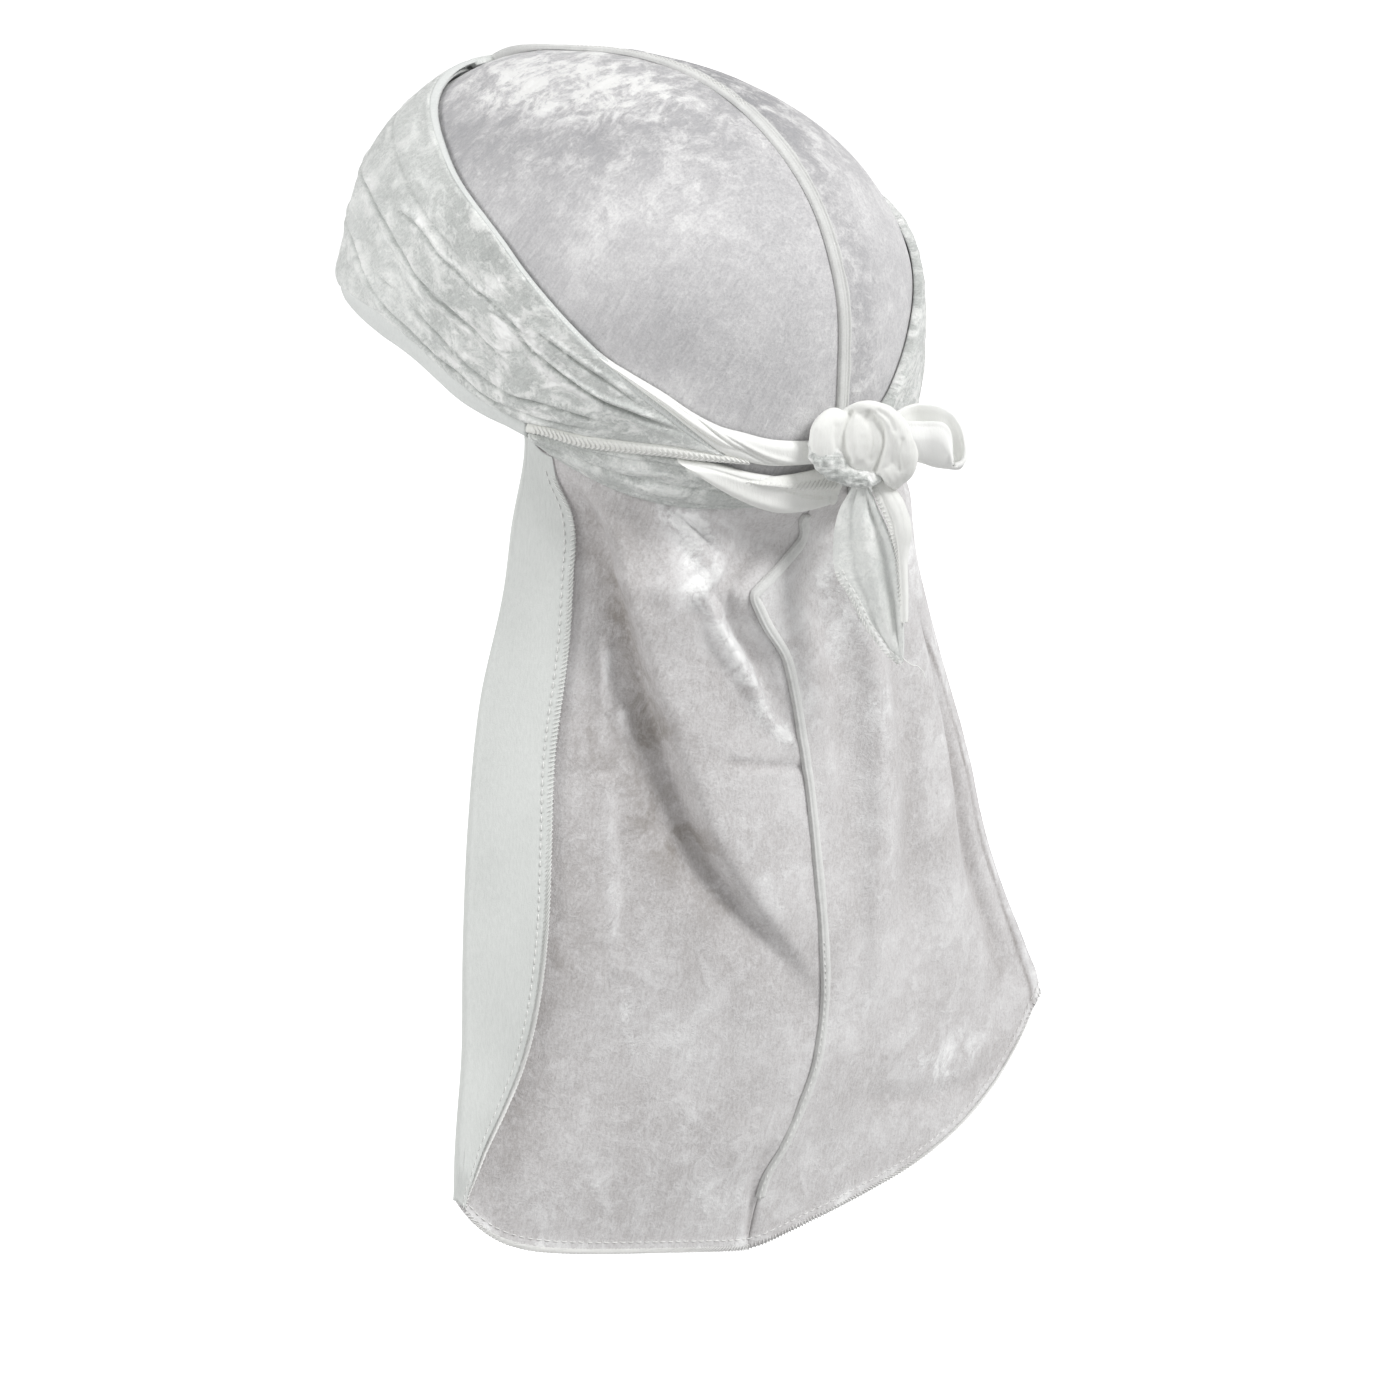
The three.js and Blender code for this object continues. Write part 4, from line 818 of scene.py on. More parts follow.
# The right strap stops where it enters the knot
keep = right_outer.shape[0] - 8
right_looks["tone"] = right_looks["tone"] + 0.1
wrap_right = add_sheet("wrap_right_cloth", right_outer[:keep], right_inner[:keep], wrap_velvet, hem_knit,
                       {k: v[:keep] for k, v in right_looks.items()})
under_right, _ = band(
    "under_wrap_right_cloth",
    [(117.6, -17.4, -20.2), (123, -17.9, -22.7), (131, -18.5, -25.2), (138, -19.0, -27.0),
     (145, -19.2, -27.8), (153, -19.2, -27.7), (158, -19.6, -27.4), (165, -20.8, -27.4),
     (171, -21.1, -28.1), (175, -21.2, -27.6)],
    LYING, 3.4, wrap_velvet,
    folds((0.6, 0.6, -0.7, 0.7), (0.3, 0.35, -0.6, 0.6), (0.45, 0.5, 0.5, 1.2)), columns=40, side=-1)


# Tail
TAIL_SCALE = np.array([105.0, 256.0])


def nape(bearing):
    return curve(NAPE_LINE, bearing) - math.degrees(JOIN_GAP / HEAD_HALF_LENGTH)


# Hanging folds: the crest's drop and share across, then height and its reach in mm towards the
# left edge and towards the right one
TAIL_FOLDS = [
    ([(0.0, 0.86), (0.025, 0.79), (0.045, 0.73), (0.098, 0.595), (0.145, 0.52), (0.225, 0.475),
      (0.305, 0.44), (0.38, 0.37), (0.453, 0.31), (0.522, 0.21), (0.603, 0.07), (0.68, -0.02)], 5.0, 3.2,
      30),
    ([(0.0, 0.90), (0.05, 0.79), (0.103, 0.675), (0.152, 0.607), (0.225, 0.55), (0.292, 0.495),
      (0.37, 0.43), (0.443, 0.368), (0.508, 0.28), (0.575, 0.17), (0.66, 0.07)], -5.6, 15, 4.2),
    ([(0.0, 0.34), (0.06, 0.27), (0.12, 0.23), (0.14, 0.2), (0.182, 0.195), (0.217, 0.175), (0.255, 0.145),
      (0.29, 0.11), (0.33, 0.025)], 3.6, 4, 3.0),
    ([(0.0, 0.30), (0.10, 0.24), (0.16, 0.165), (0.2, 0.135), (0.25, 0.10), (0.30, 0.06), (0.33, 0.0)],
      -2.6, 3, 5),
    ([(0.0, 0.56), (0.035, 0.495), (0.08, 0.36), (0.12, 0.18)], 3.4, 3.4, 3),
    ([(0.0, 0.47), (0.037, 0.41), (0.068, 0.335), (0.11, 0.24)], 2.4, 2.6, 3),
    ([(0.0, 0.52), (0.037, 0.45), (0.068, 0.35), (0.11, 0.2)], -2.6, 2.6, 2.6),
    ([(0.0, 0.64), (0.05, 0.58), (0.10, 0.50), (0.16, 0.45)], -2.6, 7, 4),
    ([(0.0, 0.14), (0.08, 0.13), (0.13, 0.11), (0.2, 0.08), (0.3, 0.03)], -2.2, 6, 3),
    ([(0.0, -0.10), (0.05, -0.13), (0.16, -0.22), (0.4, -0.17), (0.56, -0.06)], -3.2, 8, 12),
    ([(0.0, -0.25), (0.05, -0.3), (0.16, -0.38), (0.4, -0.31), (0.6, -0.25), (0.75, -0.25)], 3.4, 6, 16),
    ([(0.05, -0.5), (0.3, -0.52), (0.6, -0.5), (0.8, -0.45)], -3.0, 12, 14),
    ([(0.05, -0.7), (0.3, -0.72), (0.6, -0.7), (0.85, -0.66)], 2.4, 12, 12),
    ([(0.08, -0.84), (0.44, -0.87), (0.69, -0.89), (0.9, -0.92)], -3.4, 7, 3.5)]
# Short cross creases: two ends as (across, drop), height and width in mm
TAIL_CREASES = [
    ((-0.30, 0.853), (-0.76, 0.957), -0.9, 3.2), ((-0.40, 0.80), (-0.68, 0.915), 0.7, 7.0),
    ((0.27, 0.34), (0.02, 0.355), -1.0, 1.6), ((0.05, 0.87), (0.0, 1.0), -1.2, 2.4),
    ((0.635, 0.375), (0.61, 0.61), 0.9, 2.0), ((0.655, 0.205), (0.64, 0.285), 1.0, 1.6),
    ((0.605, 0.285), (0.59, 0.315), 1.0, 1.8), ((0.70, 0.21), (0.66, 0.36), -0.7, 3.0),
    ((-0.45, 0.62), (-0.30, 0.70), 0.8, 4.0), ((-0.62, 0.30), (-0.58, 0.52), 0.8, 5.0)]


def tail_fold(across, drop):
    """The height of the folds and creases in mm at a place on the tail."""
    height = 0
    for rows, tall, to_left, to_right in TAIL_FOLDS:
        middle = curve(rows, drop)
        half_width = 92 + 60 * drop
        d = (across - middle) * half_width
        reach = np.where(d > 0, to_left, to_right)
        way = (drop - rows[0][0]) / (rows[-1][0] - rows[0][0])
        on = smooth(-0.12, 0.12, way) * (1 - smooth(0.6, 1.06, way))
        height = height + tall * on * np.exp(-(d / reach) ** 2)
    for first, second, tall, wide in TAIL_CREASES:
        height = height + tall * bell(crease_distance(across, drop, first, second), 0, wide)
    return height


def crease_distance(across, drop, first, second):
    """Distance in mm from a line on the tail between two places."""
    a, b = np.array(first) * TAIL_SCALE, np.array(second) * TAIL_SCALE
    x, y = across * TAIL_SCALE[0], drop * TAIL_SCALE[1]
    t = np.clip(((x - a[0]) * (b[0] - a[0]) + (y - a[1]) * (b[1] - a[1])) / ((b - a) ** 2).sum(), 0, 1)
    return np.hypot(x - a[0] - t * (b[0] - a[0]), y - a[1] - t * (b[1] - a[1]))


def tail_point(across, drop):
    """The tail's middle surface at a share across (1 left edge, 0 seam, -1 right edge) and of the drop."""
    across, drop = np.broadcast_arrays(np.asarray(across, float), np.asarray(drop, float))
    left = across >= 0
    sign = np.where(left, 1.0, -1.0)
    share = np.abs(across)

    def edge(column):
        return np.where(left, curve(TAIL_EDGE_LEFT, drop, column), curve(TAIL_EDGE_RIGHT, drop, column))

    seam_x = curve(TAIL_SEAM, drop, 1) * HEAD_HALF_WIDTH
    seam_y = curve(TAIL_SEAM, drop, 2) * HEAD_HALF_LENGTH
    edge_x = sign * (HEAD_HALF_WIDTH + (TAIL_HALF_WIDTH - HEAD_HALF_WIDTH) * edge(1))
    edge_y = edge(2) * HEAD_HALF_LENGTH
    elbow_x = edge(4) * edge_x
    elbow_y = edge(5) * HEAD_HALF_LENGTH
    a, b, c = (1 - share) ** 2, 2 * share * (1 - share), share ** 2
    steady = np.where(left, 0.55, 0.3)
    power = np.where(left, 12, 4.8)
    rise = steady * share + (1 - steady) * share ** power
    top = head_point(180, nape(180), 0)[2]
    level = smooth(0.5, 1, drop)
    hanging = points(
        a * seam_x + b * elbow_x + c * edge_x,
        a * seam_y + b * elbow_y + c * edge_y,
        top - TAIL_DROP * (drop - edge(3) * (share + (rise - share) * level)))
    along = unit(np.stack([
        2 * (1 - share) * (elbow_x - seam_x) + 2 * share * (edge_x - elbow_x),
        2 * (1 - share) * (elbow_y - seam_y) + 2 * share * (edge_y - elbow_y)], axis=-1))
    near = (1 - smooth(0, 0.2, share))[..., None]
    out = np.stack([-along[..., 1] * sign, along[..., 0] * sign], axis=-1)
    out = unit(out * (1 - near) + np.array([0, 1.0]) * near) * tail_fold(across, drop)[..., None]
    hanging[..., :2] += out
    bearing = 180 + (np.where(left, 116.6, NAPE_LINE[1][0]) - 180) * share
    neck = head_point(bearing, nape(bearing) - 130 * drop, CLOTH / 2)
    neck[..., 0] *= sign
    t = smooth(0.008, 0.1, drop)[..., None]
    return neck + (hanging - neck) * t


grids = {}


def tail_panel(sign):
    """Half of the tail: the left one (1) with its edge turned out, the right one (-1) with it doubled."""
    drop = (np.linspace(0, 1, 171) ** 1.15)[:, None]
    share = np.linspace(0, 1, 121)[None, :]
    across = sign * share
    if sign < 0:
        across = np.minimum(across, -1e-6)
    middle = tail_point(across, drop)
    middle[..., 0] += sign * JOIN_GAP / 2
    normals = grid_normals(middle)
    normals *= np.sign((normals * [0, 1, 0]).sum(-1).mean())
    relief = 0.3 * noise(middle, 12, 51, 2)
    to_edge = (1 - drop) * TAIL_DROP + 0 * across
    relief = relief + 0.5 * (1 - smooth(3.2, 3.9, to_edge)) - 0.25 * bell(to_edge, 3.9, 0.5)
    if sign < 0:
        doubled = curve(RIGHT_HEM, drop)
        relief = relief + 0.7 * smooth(doubled - 0.004, doubled + 0.008, share) * smooth(0.05, 0.12, drop)
    # painted shade in the fold valleys and beside the cuff, painted highlights on the crests and gathers,
    # and random tone
    tone = tail_tone(across + 0 * drop, drop + 0 * across, middle)
    # the crushed texture is stronger under the painted highlights
    crush = 0.42 + 1.3 * np.clip(tone - 0.06, 0, 0.6)
    # the hem strip along the bottom lighter, with a painted shade line beside its groove
    tone = tone + 0.2 * (1 - smooth(3.4, 4.2, to_edge)) - 0.2 * bell(to_edge, 4.4, 0.5)
    if sign < 0:
        # the doubled strip lighter, with painted shade along the step at its inner edge
        below = smooth(0.05, 0.12, drop)
        tone = tone + below * (0.24 * smooth(doubled, doubled + 0.01, share)
                               - 0.3 * bell(share, doubled, 0.006))
        outer, inner = cloth_faces(middle, normals, CLOTH, relief)
        grids["tail_right"] = outer, normals
        return add_sheet("tail_right_cloth", outer, inner, tail_velvet, cuff_knit,
                         {"tone": tone, "crush": crush})
    bend_steps, cuff_steps = 10, 40
    radius = CUFF_BEND * (0.3 + 0.7 * smooth(0, 0.15, drop[:, 0])) * (1 - 0.7 * smooth(0.93, 1, drop[:, 0]))
    free = curve(CUFF_EDGE, drop[:, 0])
    edge = middle[:, -1]
    out = normals[:, -1]
    on = unit(edge - middle[:, -3])

    def bend(angle):
        return edge + on * (radius * np.sin(angle))[:, None] + out * (radius * (1 - np.cos(angle)))[:, None]

    extra = [bend(math.pi * k / bend_steps) for k in range(1, bend_steps + 1)]
    plain = tail_point(across, drop)
    last = middle.shape[1] - 1
    rows = np.arange(middle.shape[0])
    for k in range(1, cuff_steps + 1):
        column = last * (1 - (1 - free) * k / cuff_steps)
        low = np.minimum(np.floor(column).astype(int), last - 1)
        f = (column - low)[:, None]
        lying = plain[rows, low] * (1 - f) + plain[rows, low + 1] * f
        n = normals[rows, low]
        share = k / cuff_steps
        full = 1.2 * np.sin(math.pi * share) * smooth(0.05, 0.2, drop[:, 0])
        lift = 2 * radius * (1 - 0.35 * share) + full
        extra.append(lying + n * lift[:, None])
    whole = np.concatenate([middle, np.stack(extra, axis=1)], axis=1)
    n = grid_normals(whole)
    n *= np.sign((n[:, : last // 2] * [0, 1, 0]).sum(-1).mean())
    columns = whole.shape[1]
    pad = columns - last - 1
    relief = np.concatenate([relief, np.zeros((len(rows), pad))], axis=1)
    outer, inner = cloth_faces(whole, n, CLOTH, relief)
    tone = np.concatenate([tone, np.zeros((len(rows), pad))], axis=1)
    crush = np.concatenate([crush, np.full((len(rows), pad), 0.42)], axis=1)
    grids["tail_left"] = outer[:, :last], n[:, :last]
    grids["cuff"] = inner[:, last + bend_steps:], -n[:, last + bend_steps:]
    return add_sheet("tail_left_cloth", outer, inner, tail_velvet, cuff_knit, {"tone": tone, "crush": crush})


# Painted shade in the fold valleys and beside the cuff's edge, painted highlights on the fold crests and
# gathers, and other lighter and darker patches: two ends as (across, drop), reach in mm and tone
TAIL_LIGHT_AND_PATCHES = [
    ((0.20, 0.10), (0.12, 0.20), 6, 0.05), ((0.10, 0.14), (0.02, 0.24), 6, 0.12),
    ((-0.12, 0.08), (-0.16, 0.2), 6, 0.14), ((-0.3, 0.10), (-0.35, 0.2), 6, 0.12),
    ((0.52, 0.36), (0.44, 0.44), 7, -0.06), ((0.36, 0.46), (0.28, 0.52), 6, -0.10),
    ((0.20, 0.44), (0.12, 0.52), 6, 0.1), ((0.86, 0.72), (0.92, 0.9), 8, -0.06),
    ((0.8, 0.14), (0.78, 0.3), 6, 0.1), ((0.06, 0.58), (0.02, 0.64), 6, -0.06),
    ((0.2, 0.86), (0.02, 0.96), 9, 0.06), ((0.75, 0.93), (-0.6, 0.93), 22, 0.07),
    ((0.4, 0.68), (-0.3, 0.74), 16, 0.05), ((-0.64, 0.865), (-0.72, 0.90), 6, 0.2),
    ((0.585, 0.64), (0.575, 0.72), 1.8, 0.2), ((0.66, 0.30), (0.655, 0.33), 2.2, 0.3),
    ((0.62, 0.32), (0.50, 0.46), 9, -0.14), ((0.50, 0.42), (0.36, 0.54), 9, -0.15),
    ((0.72, 0.34), (0.74, 0.62), 10, -0.16), ((0.78, 0.60), (0.88, 0.86), 11, -0.18),
    ((0.30, 0.12), (0.15, 0.22), 8, 0.08), ((0.25, 0.2), (0.12, 0.27), 6, 0.12),
    ((0.30, 0.42), (0.18, 0.52), 6, 0.12), ((-0.02, 0.12), (-0.06, 0.3), 5, 0.14),
    ((-0.1, 0.36), (-0.02, 0.5), 9, 0.08), ((-0.25, 0.14), (-0.22, 0.24), 5, 0.2),
    ((0.40, 0.72), (0.25, 0.92), 12, 0.08), ((-0.62, 0.12), (-0.64, 0.3), 8, 0.16),
    ((0.80, 0.05), (0.61, 0.16), 7, -0.22), ((0.61, 0.15), (0.49, 0.30), 7, -0.34),
    ((0.49, 0.30), (0.37, 0.45), 7, -0.20), ((0.37, 0.44), (0.22, 0.55), 7, -0.12),
    ((0.72, 0.12), (0.62, 0.30), 16, -0.10), ((0.60, 0.30), (0.5, 0.5), 16, -0.08),
    ((0.46, 0.26), (0.40, 0.40), 6, 0.10), ((0.195, 0.17), (0.13, 0.27), 3.5, 0.55),
    ((0.13, 0.26), (0.04, 0.33), 4.5, 0.45), ((0.51, 0.03), (0.36, 0.085), 3.4, 0.75),
    ((0.42, 0.037), (0.335, 0.07), 3, 0.55), ((0.42, 0.04), (0.26, 0.14), 5, 0.2),
    ((0.30, 0.05), (0.26, 0.11), 4, 0.14), ((0.30, 0.11), (0.2, 0.15), 3, 0.3),
    ((0.45, 0.05), (0.33, 0.10), 3, -0.3), ((0.63, 0.05), (0.52, 0.13), 6, -0.12),
    ((0.14, 0.1), (0.1, 0.2), 6, -0.14), ((-0.12, 0.05), (-0.2, 0.16), 6, -0.14),
    ((-0.20, 0.2), (-0.14, 0.5), 7, -0.08), ((-0.30, 0.08), (-0.36, 0.3), 8, 0.12),
    ((-0.33, 0.3), (-0.27, 0.6), 8, 0.10), ((-0.52, 0.1), (-0.5, 0.6), 9, -0.08),
    ((-0.70, 0.2), (-0.68, 0.7), 9, 0.06), ((-0.87, 0.42), (-0.9, 0.85), 4, -0.16),
    ((-0.45, 0.81), (-0.66, 0.91), 6, 0.22), ((-0.33, 0.865), (-0.75, 0.96), 4, -0.18),
    ((0.635, 0.385), (0.615, 0.598), 2.0, 0.22), ((0.65, 0.217), (0.645, 0.275), 2.0, 0.40),
    ((0.60, 0.29), (0.59, 0.31), 2.2, 0.40), ((0.245, 0.343), (0.03, 0.353), 2.2, -0.10),
    ((0.04, 0.89), (0.0, 1.0), 2.2, -0.2), ((0.70, 0.5), (0.55, 0.95), 18, 0.05)]


# random tone plus the tail's painted shade, painted highlights and patches
def tail_tone(across, drop, p):
    tone = 0.06 * noise(p, 26, 61, 2) + 0.05 * noise(p, 9, 62, 2)
    for first, second, reach, amount in TAIL_LIGHT_AND_PATCHES:
        d = crease_distance(across, drop, first, second)
        tone = tone + amount * np.exp(-(d / reach) ** 2)
    return tone + 0.03 * noise(p, 4, 63, 2)


tail_right = tail_panel(-1)
tail_left = tail_panel(1)


def tail_seam_cloth():
    drop = np.linspace(TAIL_SEAM_START, TAIL_SEAM_END, 260)
    middle = tail_point(0 * drop, drop)
    down = unit(tail_point(0 * drop, drop + 0.01) - tail_point(0 * drop, drop - 0.01))
    out = unit(np.cross([1.0, 0, 0], down))
    out *= np.sign(out[:, 1:2])
    side = unit(np.cross(out, down))
    side *= np.sign(side[:, :1])
    share = np.linspace(-1, 1, 15)[None, :]
    rise = np.sqrt(np.clip(1 - share ** 2, 0, 1)) ** 0.6 * 1.3 - 0.25 * bell(share, 0.4, 0.2)
    half = 1.75 + 0.25 * noise(middle, 9, 71)[:, None]
    level = middle[:, None] + side[:, None] * (share * half)[..., None]
    outer = level + out[:, None] * (CLOTH / 2 + 0.35 + np.maximum(rise, 0.02))[..., None]
    inner = level + out[:, None] * (CLOTH / 2 + 0.1 + 0 * share)[..., None]
    # painted shadow along the seam's left side, a lighter strip near its right edge, and random tone
    tone = (0.02 + 0.16 * noise(outer, 2.2, 72, 2) + 0.14 * bell(share, -0.75, 0.3)
            - 0.3 * bell(share, 0.9, 0.15))
    return add_sheet("tail_seam_cloth", outer, inner, seam_cloth, None, {"tone": tone}), outer


tail_seam, tail_seam_grid = tail_seam_cloth()

# Knot: places in the photograph's plane, to the right, up and towards the viewer
KNOT = np.array([0.25, 110.3, -30.0])
RIGHT = np.array([-0.719, 0.619, 0.0])
UP = np.array([0.0, 0.0, 0.97])
NEAR = np.array([0.688, 0.727, 0.234])
FACING = np.array([0.652, 0.758, 0.0])


def knot_place(rows):
    rows = np.asarray(rows, float)
    return KNOT + rows[..., 0:1] * RIGHT + rows[..., 1:2] * UP + rows[..., 2:3] * NEAR


def wound(rows, grooves=(), around=40, along=60):
    """Points and faces of a strap wound into a fat roll: right, up, near and two half sizes a row."""
    line = catmull(rows, along)
    path = knot_place(line[:, :3])
    way = unit(np.gradient(path, axis=0))
    face = unit(NEAR - way * (way @ NEAR)[:, None])
    side = np.cross(way, face)
    a = np.linspace(0, 2 * math.pi, around, endpoint=False)[None, :]
    c, s = np.cos(a), np.sin(a)
    c = np.sign(c) * np.abs(c) ** 0.85
    s = np.sign(s) * np.abs(s) ** 0.85
    scale = np.ones((along, around))
    for angle, depth, wide in grooves:
        d = (np.degrees(a) - angle + 180) % 360 - 180
        scale = scale - depth * bell(d, 0, wide)
    t = np.linspace(0, 1, along)[:, None]
    taper = np.sqrt(np.clip(1 - (2 * np.abs(t - 0.5)) ** 6, 0, 1))
    ring = (path[:, None] + side[:, None] * (c * line[:, 3:4] * scale * taper)[..., None]
            + face[:, None] * (s * line[:, 4:5] * scale * taper)[..., None])
    i = np.arange(along - 1)[:, None] * around
    k = np.arange(around)[None, :]
    m = (k + 1) % around
    corners = (i + k, i + m, i + around + m, i + around + k)
    return ring.reshape(-1, 3), np.stack([corner.ravel() for corner in corners], 1)


def fold_depth(p, lines):
    """How deep the knot's drawn folds are at points: lines of right and up, depth and width in mm."""
    q = p - KNOT
    near = q @ FACING
    right = q @ RIGHT / (RIGHT @ RIGHT)
    up = (q[:, 2] - NEAR[2] * near) / UP[2]
    depth = np.zeros(len(p))
    for rows, deep, wide in lines:
        line = catmull(rows, 40)
        aside = right[:, None] - line[None, :, 0]
        above = up[:, None] - line[None, :, 1]
        d = np.sqrt((aside ** 2 + above ** 2).min(axis=1))
        depth += deep * bell(d, 0, wide)
    return depth * smooth(-1.0, 2.0, near)


def joined(name, parts, finish, voxel, steps, crumples, tone_of, crush=0.8, lines=()):
    """Rolls of cloth grown into one soft form, with creases where they meet."""
    verts, faces, count = [], [], 0
    for v, f in parts:
        verts.append(v)
        faces.append(f + count)
        count += len(v)
    me = bpy.data.meshes.new(name + "_start")
    me.from_pydata((np.concatenate(verts) / 1000).tolist(), [], np.concatenate(faces).tolist())
    bm = bmesh.new()
    bm.from_mesh(me)
    bmesh.ops.remove_doubles(bm, verts=bm.verts, dist=1e-6)
    bmesh.ops.holes_fill(bm, edges=bm.edges, sides=60)
    bmesh.ops.recalc_face_normals(bm, faces=bm.faces)
    bm.to_mesh(me)
    bm.free()
    start = bpy.data.objects.new(name + "_start", me)
    bpy.context.scene.collection.objects.link(start)
    remesh = start.modifiers.new("remesh", "REMESH")
    remesh.mode = "VOXEL"
    remesh.voxel_size = voxel / 1000
    even = start.modifiers.new("even", "SMOOTH")
    even.factor = 0.5
    even.iterations = steps
    ready = bpy.data.meshes.new_from_object(start.evaluated_get(bpy.context.evaluated_depsgraph_get()))
    bpy.data.objects.remove(start)
    co = np.empty(len(ready.vertices) * 3)
    ready.vertices.foreach_get("co", co)
    p = co.reshape(-1, 3) * 1000
    n = np.empty(len(ready.vertices) * 3)
    ready.vertices.foreach_get("normal", n)
    n = n.reshape(-1, 3)
    for size, amount, seed in crumples:
        p = p + n * (amount * noise(p, size, seed, 2))[:, None]
    p = p - n * fold_depth(p, lines)[:, None]
    faces = [tuple(f.vertices) for f in ready.polygons]
    bpy.data.meshes.remove(ready)
    flow = np.stack([p[:, 0] + p[:, 1], p[:, 2], 80 + 0 * p[:, 0]], axis=-1)
    return add_mesh(name, p, faces, [finish], None,
                    {"tone": tone_of(p), "crush": np.full(len(p), crush), "flow": flow})


# random tone with painted shade along the knot's drawn folds
def knot_tone(p):
    return 0.08 + 0.07 * noise(p, 6, 87, 2) - 0.14 * np.maximum(fold_depth(p, KNOT_FOLDS), 0)


# Drawn folds of the knot, pressed into it and painted with shade: places to the right and up, then depth and
# width in mm
KNOT_FOLDS = [
    ([(-3.4, 10.4), (-5.2, 7.0), (-6.2, 3.0), (-6.0, -1.0), (-4.6, -5.0)], 0.9, 0.9),
    ([(1.8, 10.4), (4.4, 8.2), (6.2, 4.8), (6.5, 0.4), (5.4, -4.2), (4.0, -8.0)], 1.0, 0.8),
    ([(-2.6, 9.0), (-3.0, 5.0), (-2.8, 0.5), (-2.0, -4.0)], -0.5, 1.6),
    ([(1.2, 8.4), (2.6, 4.6), (3.0, 0.0), (2.2, -4.4)], 0.5, 1.3),
    ([(4.8, 10.8), (8.0, 8.4), (9.8, 4.6)], 0.5, 0.8),
    ([(12.4, 1.4), (11.6, -3.4), (12.2, -8.0)], 0.45, 0.8),
    ([(-8.6, 6.0), (-9.2, 2.4), (-8.6, -1.4)], 0.35, 0.9)]
knot_core = joined("knot_cloth", [
    wound([(-6.4, 9.4, 0.5, 2.4, 3), (-9.0, 8.4, 2.6, 3.8, 3.6), (-11.4, 4.9, 3.8, 4.7, 4.2),
           (-11.9, 0.6, 4.0, 4.9, 4.4), (-11.0, -3.6, 3.2, 4.8, 4.2), (-8.2, -7.2, 1, 3.8, 3.6)],
          [(62, 0.04, 16), (112, 0.05, 16)]),
    wound([(-3.2, 10.4, 0.5, 1.8, 2.2), (-5.0, 8.6, 3.6, 2.4, 2.4), (-6.2, 4.8, 4.8, 2.6, 2.6),
           (-6.5, 0.4, 4.6, 2.4, 2.6), (-6.0, -4, 3.4, 2.2, 2.4)], [(90, 0.12, 12)]),
    wound([(2.6, 12.0, 1.5, 3.0, 2.4), (1.8, 9.2, 4.2, 4.6, 2.4), (0.5, 4.8, 5.6, 5.7, 2.5),
           (-0.5, -0.6, 5.9, 5.8, 2.6), (-0.5, -5.4, 4.9, 5.2, 2.5), (0.1, -9.6, 2.6, 3.8, 2.4)],
          [(55, 0.04, 14)]),
    wound([(5.4, 9.2, 1.5, 1.8, 2.2), (6.6, 6.8, 4.4, 2.5, 2.6), (7.5, 2.8, 5.6, 3.0, 2.8),
           (7.3, -2.4, 5.4, 3.2, 2.8), (5.7, -6.6, 4.4, 3.0, 2.6), (2.8, -9.4, 2.4, 2.4, 2.2)],
          [(80, 0.12, 12)]),
    wound([(-6.6, 9.4, -1, 1.3, 1.8), (-4.4, 11.2, 1.8, 1.4, 2.0), (-1.0, 12.4, 4.2, 1.6, 2.2),
           (2.8, 12.0, 5.4, 2.2, 2.4), (7.2, 9.6, 6.0, 3.2, 2.8), (10.6, 5.4, 6.0, 4.1, 3.1),
           (12.8, 0.2, 5.6, 4.6, 3.3), (13.5, -4.6, 4.8, 4.4, 3.4), (12.6, -8.8, 3.4, 4.0, 3.4),
           (9.8, -11.6, 0.5, 3.0, 3)],
          [(58, 0.06, 10), (96, 0.06, 8), (128, 0.06, 9)], along=90),
    wound([(6.2, -4.5, 2, 2.6, 3), (8.8, -7.6, 4.6, 3.4, 3.2), (10.4, -10.4, 3.2, 3.4, 3.2),
           (9.6, -12.8, 0, 2.4, 2.6)], [(90, 0.10, 14)]),
    wound([(-11, 0.5, -3, 6, 5), (-5, 0.8, 1.2, 8.6, 5), (4, 0.4, 1.8, 9.6, 5.2), (11, -2.5, 0, 7, 5)])],
    white_knit, 0.42, 5, [(9, 0.3, 82), (3.2, 0.16, 83)], knot_tone, lines=KNOT_FOLDS)
joined("knot_velvet", [
    wound([(-15.8, 3.4, 1.0, 1.8, 2.0), (-14.4, -0.2, 4.2, 3.5, 2.4), (-11.8, -3.8, 6.0, 4.6, 2.6),
           (-8.8, -7.0, 6.6, 4.4, 2.6), (-5.2, -9.8, 6.4, 3.2, 2.5), (-0.8, -10.9, 6.2, 3.0, 2.4),
           (3.4, -10.9, 5.2, 2.6, 2.2), (6.6, -9.4, 3.6, 1.6, 1.6)],
          [(75, 0.12, 12), (105, 0.12, 10), (135, 0.1, 12)], along=90)],
    wrap_velvet, 0.36, 1, [(2.4, 0.8, 88), (1.1, 0.35, 89)],
    lambda p: 0.7 * noise(p, 1.5, 90, 2) - 0.02, 1.0)


